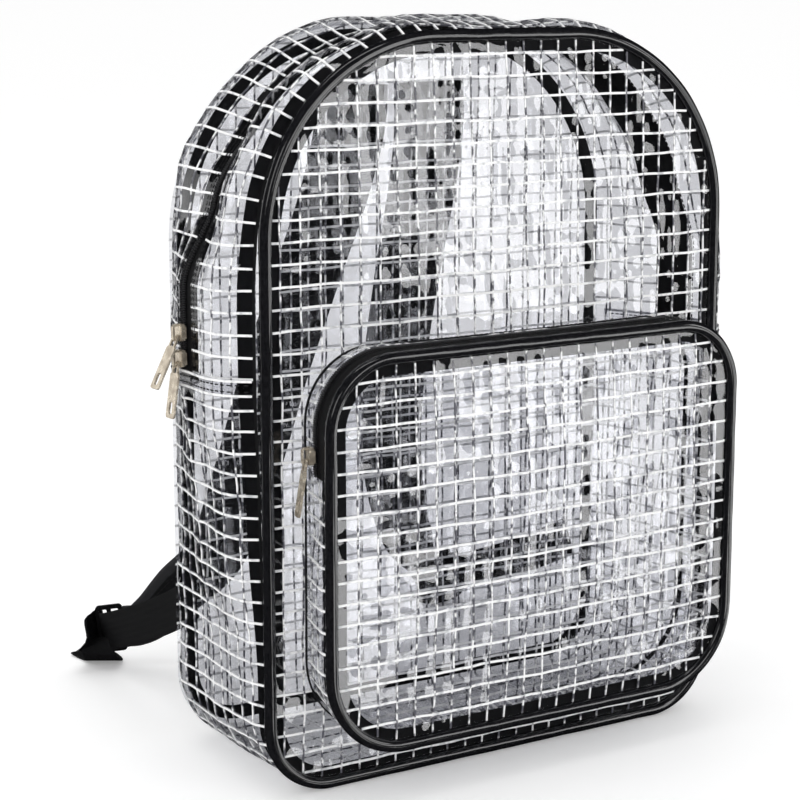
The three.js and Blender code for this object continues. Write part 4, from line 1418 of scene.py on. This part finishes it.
def smooth_line(points: Array, steps: int) -> tuple[Array, Array]:
    """A centripetal Catmull-Rom line through points.

    Each span is a cubic whose end slopes come from its neighbours, weighed by the square root of the
    distances.

    Args:
        points: the points in millimetres.
        steps: number of even steps over all spans.

    Returns:
        Points of the line and its directions.
    """
    padded = np.concatenate([[2 * points[0] - points[1]], points, [2 * points[-1] - points[-2]]])
    place = np.linspace(0, 1, steps + 1) * (len(points) - 1)
    span = np.minimum(place.astype(int), len(points) - 2)
    t = (place - span)[:, None]
    p0, p1, p2, p3 = (padded[span + k] for k in range(4))
    pairs = ((p0, p1), (p1, p2), (p2, p3))
    d0, d1, d2 = (np.sqrt(np.linalg.norm(b - a, axis=1, keepdims=True)) for a, b in pairs)
    m1 = ((p1 - p0) / d0 - (p2 - p0) / (d0 + d1) + (p2 - p1) / d1) * d1
    m2 = ((p2 - p1) / d1 - (p3 - p1) / (d1 + d2) + (p3 - p2) / d2) * d1
    c2 = -3 * p1 + 3 * p2 - 2 * m1 - m2
    c3 = 2 * p1 - 2 * p2 + m1 + m2
    return p1 + m1 * t + c2 * t**2 + c3 * t**3, unit(m1 + 2 * c2 * t + 3 * c3 * t**2)


def column_at(values: Array, count: int) -> Array:
    """A table's column at even steps of the line through its rows."""
    return np.interp(np.linspace(0, len(values) - 1, count), np.arange(len(values)), values)


@dataclass(frozen=True)
class Band:
    """A band in space: its middle line with across and outward directions."""

    middle: Array
    across: Array
    outward: Array

    @classmethod
    def along(cls, points: Array, hints: Array, steps: int) -> "Band":
        """A band along a line.

        Args:
            points: the line's points.
            hints: the width's wanted direction at each of them.
            steps: number of steps.

        Returns:
            The band.
        """
        middle, along = smooth_line(points, steps)
        wanted = np.stack([column_at(hints[:, k], steps + 1) for k in range(3)], axis=-1)
        across = unit(wanted - along * np.sum(wanted * along, axis=-1, keepdims=True))
        return cls(middle, across, np.cross(along, across))

    @property
    def ways(self) -> Array:
        """Millimetres along the middle line."""
        steps = np.linalg.norm(np.diff(self.middle, axis=0), axis=1)
        return np.concatenate([[0], np.cumsum(steps)])

    def loops(self, section: Array) -> tuple[Array, Array]:
        """A section swept along the band.

        Args:
            section: across and outward distances, for each row or for all.

        Returns:
            The loops' points and their UV coordinates in millimetres.
        """
        section = np.broadcast_to(section, (len(self.middle), *section.shape[-2:]))
        points = (self.middle[:, None] + self.across[:, None] * section[..., :1]
                  + self.outward[:, None] * section[..., 1:])
        return points, np.stack(np.broadcast_arrays(self.ways[:, None], section[..., 0]), axis=-1)

    def frames(self, pitch: float, wide: Callable[[Array], Array], thick: Callable[[Array], Array]) -> Array:
        """Origins and axes at even distances along the band.

        Args:
            pitch: millimetres between them.
            wide: the distance across at a share of the way.
            thick: the distance outward at a share of the way.

        Returns:
            Frames for scatter.
        """
        ways = self.ways
        places = np.arange(pitch, ways[-1] - pitch, pitch)

        def at(values: Array) -> Array:
            """A column of the band at the stitches' places."""
            return np.stack([np.interp(places, ways, values[:, k]) for k in range(3)], axis=-1)

        share = places / ways[-1]
        across, outward_way = unit(at(self.across)), unit(at(self.outward))
        origin = at(self.middle) + across * wide(share)[:, None] + outward_way * thick(share)[:, None]
        return np.stack([origin, np.cross(across, outward_way), across, outward_way], axis=1)


STRAP_SIDE = np.array([0.087, 0.09, 0.1, 0.12, 0.145, 0.18, 0.235, 0.295, 0.34, 0.367, 0.391])
STRAP_BACK = np.array([0.0, 0.0, 0.1, 0.33, 0.57, 0.77, 0.88, 0.99, 1.1, 1.16, 1.2])
STRAP_UP = np.array([0.915, 0.86, 0.765, 0.625, 0.475, 0.305, 0.18, 0.128, 0.082, 0.065, 0.0625])
STRAP_WIDE = np.array([1.0, 1.0, 1.0, 1.0, 1.0, 0.9, 0.65, 0.4, 0.15, 0.0, 0.0])
STRAP_TURN = np.array([0.0, 0.0, 0.0, 0.03, 0.1, 0.25, 0.5, 0.8, 0.95, 1.0, 1.0])
LEAD_WAY = np.array([0.0, 0.33, 0.67])
LEAD_SAG = np.array([0.0, 0.12, 0.12])
WRAP_ALONG = np.array([0.775, 0.765, 0.77, 0.8, 0.928, 1.06, 1.1, 1.14, 1.22])
WRAP_AHEAD = np.array([0.35, 0.1, -0.06, -0.16, -0.2, -0.15, 0.0, 0.2, 0.45])
FREE_SIDE = np.array([0.472, 0.46, 0.434, 0.422, 0.428])
FREE_BACK = np.array([1.235, 1.222, 1.297, 1.383, 1.569])
FREE_UP = np.array([0.053, 0.032, 0.0095, 0.0036, 0.0036])
FREE_LEVEL = np.array([0.2, 0.65, 1.0, 1.0, 1.0])


@dataclass
class ShoulderStrap(Assembly):
    """One padded strap with its bound edges, and the webbing through its adjuster."""

    side: str = "left"
    sign: float = -1.0
    width: float = 48.0
    end_width: float = 27.0
    thickness: float = 7.0
    bulge: float = 1.15
    webbing_width: float = 25.0
    webbing_thickness: float = 1.4
    adjuster: float = 18.0
    anchor_height: float = 83.0
    anchor_inset: float = 18.0
    anchor_lift: float = 5.6
    free_turn: float = 31.6

    def build(self) -> None:
        """Makes the strap and its webbing."""
        pad = self._pad_band()
        wide = column_at(STRAP_WIDE, len(pad.middle))
        half = (self.end_width + (self.width - self.end_width) * wide) / 2
        self._pad(pad, half)
        for edge, edge_sign in (("inner", 1.0), ("outer", -1.0)):
            self._edge(pad, half, edge, edge_sign)
        self._webbing(pad)

    def _pad_band(self) -> Band:
        """The strap's middle line, from the table of its rows."""
        x, z = self.sign * STRAP_SIDE * SIZE.width, STRAP_UP * SIZE.height
        y = back_face(x, z) + 0.6 + self.bulge * self.thickness / 2 + STRAP_BACK * SIZE.depth
        hints = np.stack([-self.sign * (1 - STRAP_TURN), 0 * STRAP_TURN, -STRAP_TURN], axis=-1)
        return Band.along(np.stack([x, y, z], axis=-1), hints, 160)

    def _thick(self, across: Array) -> Array:
        """Half the pad's thickness at a share of its half width: a flat ellipse with a thin edge."""
        crown = np.sqrt(np.maximum(0, 1 - np.abs(across) ** 3))
        return self.thickness / 2 * (0.3 + (self.bulge - 0.3) * crown)

    def _pad(self, pad: Band, half: Array) -> None:
        """The padded body."""
        across = np.sin(np.linspace(-1, 1, 15) * np.pi / 2)
        thick = self._thick(across)
        upper = np.stack([across * half[:, None], np.broadcast_to(thick, (len(half), 15))], axis=-1)
        under = np.broadcast_to(-thick[::-1], (len(half), 15))
        lower = np.stack([across[::-1] * half[:, None], under], axis=-1)
        points, uv = pad.loops(np.concatenate([upper, lower], axis=1))
        piece = loft(f"{self.side}_strap_pad", points, self.finishes.padding, uv=uv)
        self.keep(piece, "black_fabric", f"{self.side}_shoulder_strap")

    def _edge(self, pad: Band, half: Array, name: str, edge_sign: float) -> None:
        """The folded tape round an edge, with a row of stitches on each face."""
        reach = 6.0
        depth = np.linspace(0, 1, 6)
        inner = [(-reach * (1 - share), 1) for share in depth]
        outer = [(-reach * share, -1) for share in depth]
        columns = []
        for off, face in inner + outer:
            share = 1 + off / half
            lift = np.where(off < -0.5, self._thick(share) + 0.35, self._thick(share) * 0.9)
            columns.append(np.stack([edge_sign * (half + off + 0.4), face * lift], axis=-1))
        points, uv = pad.loops(np.stack(columns, axis=1))
        piece = loft(f"{self.side}_strap_{name}_edge", points, self.finishes.edging, uv=uv)
        self.keep(piece, "black_fabric")
        share = np.linspace(0, 1, len(half))
        rows = [
            pad.frames(
                STITCH_PITCH,
                lambda place: edge_sign * (np.interp(place, share, half) - reach + 1.4),
                lambda place, face=face: face * (
                    np.interp(place, share, self._thick(1 - (reach - 1.4) / half)) + 0.5
                ),
            )
            for face in (1, -1)
        ]
        stitches = np.concatenate(rows)
        piece = scatter(f"{self.side}_strap_{name}_stitches", STITCH, stitches, self.finishes.sewing)
        self.keep(piece, "black_fabric")

    def _webbing(self, pad: Band) -> None:
        """The webbing: from the bag's lower back corner, round the adjuster's far bar, down to the floor."""
        sign = self.sign
        down = np.array([0.0, 0.0, -1.0])
        along = np.cross(pad.across[-1], pad.outward[-1])
        along = along / np.linalg.norm(along)
        across = unit(down - along * (down @ along))
        ahead = np.cross(along, across) * -sign
        base = pad.middle[-1] + along * 0.3
        way_along, way_ahead = WRAP_ALONG * self.adjuster, WRAP_AHEAD * self.adjuster
        wrap = base + along * way_along[:, None] + ahead * way_ahead[:, None]
        corner_x = sign * (SIZE.width / 2 - self.anchor_inset)
        corner_y = float(back_face(np.array(corner_x), np.array(self.anchor_height))) + self.anchor_lift
        corner = np.array([corner_x, corner_y, self.anchor_height])
        way = LEAD_WAY[:, None]
        lead = corner * (1 - way) + wrap[0] * way + down * (LEAD_SAG * self.webbing_width)[:, None]
        free = np.stack([
            sign * FREE_SIDE * SIZE.width,
            SIZE.depth / 2 + FREE_BACK * SIZE.depth,
            FREE_UP * SIZE.height,
        ], axis=-1)
        turn = math.radians(self.free_turn)
        level = np.array([-sign * math.cos(turn), -math.sin(turn), 0.0])
        lie = FREE_LEVEL[:, None]
        hints = np.concatenate([
            down * (1 - way) + across * way,
            np.broadcast_to(across, (len(wrap), 3)),
            across * (1 - lie) + level * lie,
        ])
        path = np.concatenate([lead, wrap, free])
        band = Band.along(path, hints, 12 * (len(path) - 1))
        w, t = self.webbing_width / 2, self.webbing_thickness / 2
        section = np.array([(-w, 0), (-w + 0.5, t), (w - 0.5, t), (w, 0), (w - 0.5, -t), (-w + 0.5, -t)])
        points, uv = band.loops(section)
        piece = loft(f"{self.side}_strap_webbing", points, self.finishes.webbing, uv=uv)
        self.keep(piece, "black_fabric", f"{self.side}_webbing")


@dataclass
class Hardware:
    """The CAD sliders, pulls and adjusters, with softened edges and their finishes."""

    finishes: Finishes
    nodes: dict[str, bpy.types.Object]

    def build(self) -> None:
        """Gives each node its finish and its softened edges."""
        metal = [f"main_{part}_{place}" for part in ("slider", "pull") for place in ("upper", "lower")]
        for name in metal + ["pocket_slider", "pocket_pull"]:
            self._finish(name, self.finishes.metal, 0.3)
        for side in ("left", "right"):
            self._finish(f"{side}_adjuster", self.finishes.moulding, 0.5)

    def _finish(self, name: str, finish: bpy.types.Material, radius: float) -> None:
        """One node's finish and bevel."""
        node = self.nodes[name]
        node.data.materials.clear()
        node.data.materials.append(finish)
        weld = node.modifiers.new("weld", "WELD")
        weld.merge_threshold = 1e-5
        bevel = node.modifiers.new("softened_edges", "BEVEL")
        bevel.width = radius * MILLIMETRE
        bevel.segments = 2
        bevel.limit_method = "ANGLE"
        bevel.angle_limit = math.radians(40)
        bevel.harden_normals = True
        LOG.info("%s: bevel %.1f mm", name, radius)


@dataclass(frozen=True)
class Softbox:
    """An area light beside the bag."""

    name: str
    place: tuple[float, float, float]
    aim: tuple[float, float, float]
    size: tuple[float, float]
    radiance: float
    roll: float = 0.0


@dataclass
class Studio:
    """Pale floor, soft lights and the camera."""

    finishes: Finishes
    sky: float = 1.0
    floor_size: float = 80.0

    def build(self) -> None:
        """Makes the stage."""
        self._sky()
        self._floor()
        for box in (
            Softbox("overhead", (-0.2, -0.2, 1.7), (0.0, 0.0, 0.2), (1.1, 0.16), 4.0),
            Softbox("left_panel", (-1.1, 1.3, 0.35), (0.0, 0.0, 0.2), (0.9, 1.2), 1.0),
            Softbox("camera_side", (-1.6, -1.2, 1.0), (0.0, 0.0, 0.2), (0.6, 0.9), 2.2),
        ):
            self._light(box)
        for box in (
            Softbox("mirror_right", (1.05, -0.55, 0.15), (0.0, 0.0, 0.2), (0.3, 1.3), 3.7, 30.0),
            Softbox("mirror_middle", (0.66, -0.92, 0.12), (0.0, 0.0, 0.2), (0.24, 0.9), 3.7, 35.0),
            Softbox("mirror_high", (0.25, -1.2, 0.6), (0.0, 0.0, 0.4), (0.9, 0.26), 3.7, 12.0),
            Softbox("mirror_low", (0.25, -1.15, -0.25), (0.0, 0.0, 0.2), (0.5, 0.22), 3.7, -20.0),
        ):
            self._mirror_card(box)
        self._camera()

    def _sky(self) -> None:
        """An even pale surround."""
        world = bpy.data.worlds.new("surround")
        world.use_nodes = True
        background = world.node_tree.nodes["Background"]
        background.inputs["Color"].default_value = (1.0, 1.0, 1.0, 1.0)
        background.inputs["Strength"].default_value = self.sky
        world.cycles_visibility.glossy = False
        bpy.context.scene.world = world

    def _plane(self, name: str, width: float, height: float,
               finish: bpy.types.Material) -> bpy.types.Object:
        """A flat rectangle about its own middle, in metres."""
        half = np.array([width, height]) * 500
        corners = np.array([(-1, -1, 0), (1, -1, 0), (1, 1, 0), (-1, 1, 0)]) * [*half, 0]
        made = make_object(name, corners.astype(float), np.array([[0, 1, 2, 3]]), finish, smooth=False)
        return made

    def _floor(self) -> None:
        """The floor."""
        floor = self._plane("floor", self.floor_size, self.floor_size, self.finishes.floor)
        floor.visible_glossy = False

    @staticmethod
    def _turn(box: Softbox) -> tuple[Vector, object]:
        """Place and rotation that face a box's aim."""
        place, aim = Vector(box.place), Vector(box.aim)
        facing = (aim - place).to_track_quat("-Z", "Y")
        return place, (facing @ Quaternion((0.0, 0.0, 1.0), math.radians(box.roll))).to_euler()

    def _light(self, box: Softbox) -> None:
        """One area light of an even radiance."""
        data = bpy.data.lights.new(box.name, "AREA")
        data.shape = "RECTANGLE"
        data.size, data.size_y = box.size
        data.energy = box.radiance * math.pi * box.size[0] * box.size[1]
        lamp = bpy.data.objects.new(box.name, data)
        lamp.location, lamp.rotation_euler = self._turn(box)
        lamp.visible_camera = False
        bpy.context.scene.collection.objects.link(lamp)

    def _mirror_card(self, box: Softbox) -> None:
        """One lit card that only glossy surfaces show."""
        card = self._plane(box.name, *box.size, LitCard(f"{box.name}_glow", box.radiance).build())
        card.location, card.rotation_euler = self._turn(box)
        card.visible_camera = False
        card.visible_diffuse = False
        card.visible_transmission = False
        card.visible_shadow = False

    def _camera(self) -> None:
        """The camera, solved from the bag's outline in the photograph."""
        data = bpy.data.cameras.new("camera")
        data.lens, data.sensor_width = 97.94, 36.0
        data.clip_end = 200.0
        camera = bpy.data.objects.new("camera", data)
        camera.location = Vector((-690.4, -1069.5, 461.9)) * MILLIMETRE
        aim = Vector((-32.89, 0.0, 204.9)) * MILLIMETRE
        camera.rotation_euler = (aim - camera.location).to_track_quat("-Z", "Y").to_euler()
        bpy.context.scene.collection.objects.link(camera)
        bpy.context.scene.camera = camera


def build_main_zip(finishes: Finishes, seam: float) -> None:
    """The long zip over the top, between the side seams."""
    around = BAG_OUTLINE.perimeter
    sheet = RoundSheet(FLAT, 1.0, start=seam, end=around - seam, near=0.0, far=SIZE.depth)
    middle = SIZE.depth / 2
    slot_front, slot_back = middle - SIZE.slot_front, SIZE.slot_back * SIZE.depth
    Zip(
        finishes,
        name="main_zip",
        sheet=sheet,
        middle=middle,
        coil_from=seam + 6,
        coil_to=around - seam - 6,
        tape_near=middle - SIZE.tape / 2,
        tape_far=middle + SIZE.tape / 2,
        tape_top=-1.2,
        coil_height=-0.2,
        stitch_rows=(slot_front - 1.5, slot_front - 4.5, slot_back + 1.5, slot_back + 4.5),
    ).build()


def main() -> None:
    """Builds the backpack's looks and its studio."""
    logging.basicConfig(level=logging.INFO, format="%(message)s")
    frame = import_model()
    finishes = Finishes()
    front_edge, back_edge = BAG_OUTLINE.inset(SIZE.piping + 0.3), BACK_OUTLINE.inset(SIZE.back_tuck)
    front = PanelSheet(Relief(seed=3, wave=0.2), -1.0, front_edge, front_face)
    back = PanelSheet(Relief(seed=4, wave=0.25), 1.0, back_edge, back_face, SIZE.back_rise)
    NettedPanel(finishes, name="front_panel", sheet=front, seed=11).build()
    NettedPanel(finishes, name="back_panel", sheet=back, seed=13, allowance=0.0).build()
    Piping(finishes).build()
    gusset = Gusset(finishes)
    gusset.build()
    build_main_zip(finishes, gusset.seam)
    Pocket(finishes).build()
    ShoulderStrap(finishes, side="left", sign=-1.0).build()
    ShoulderStrap(finishes, side="right", sign=1.0).build()
    Hardware(finishes, frame["nodes"]).build()
    Studio(finishes).build()
    scene = bpy.context.scene
    scene.cycles.transparent_max_bounces = 40
    scene.view_settings.view_transform = "Standard"


if __name__ == "__main__":
    main()
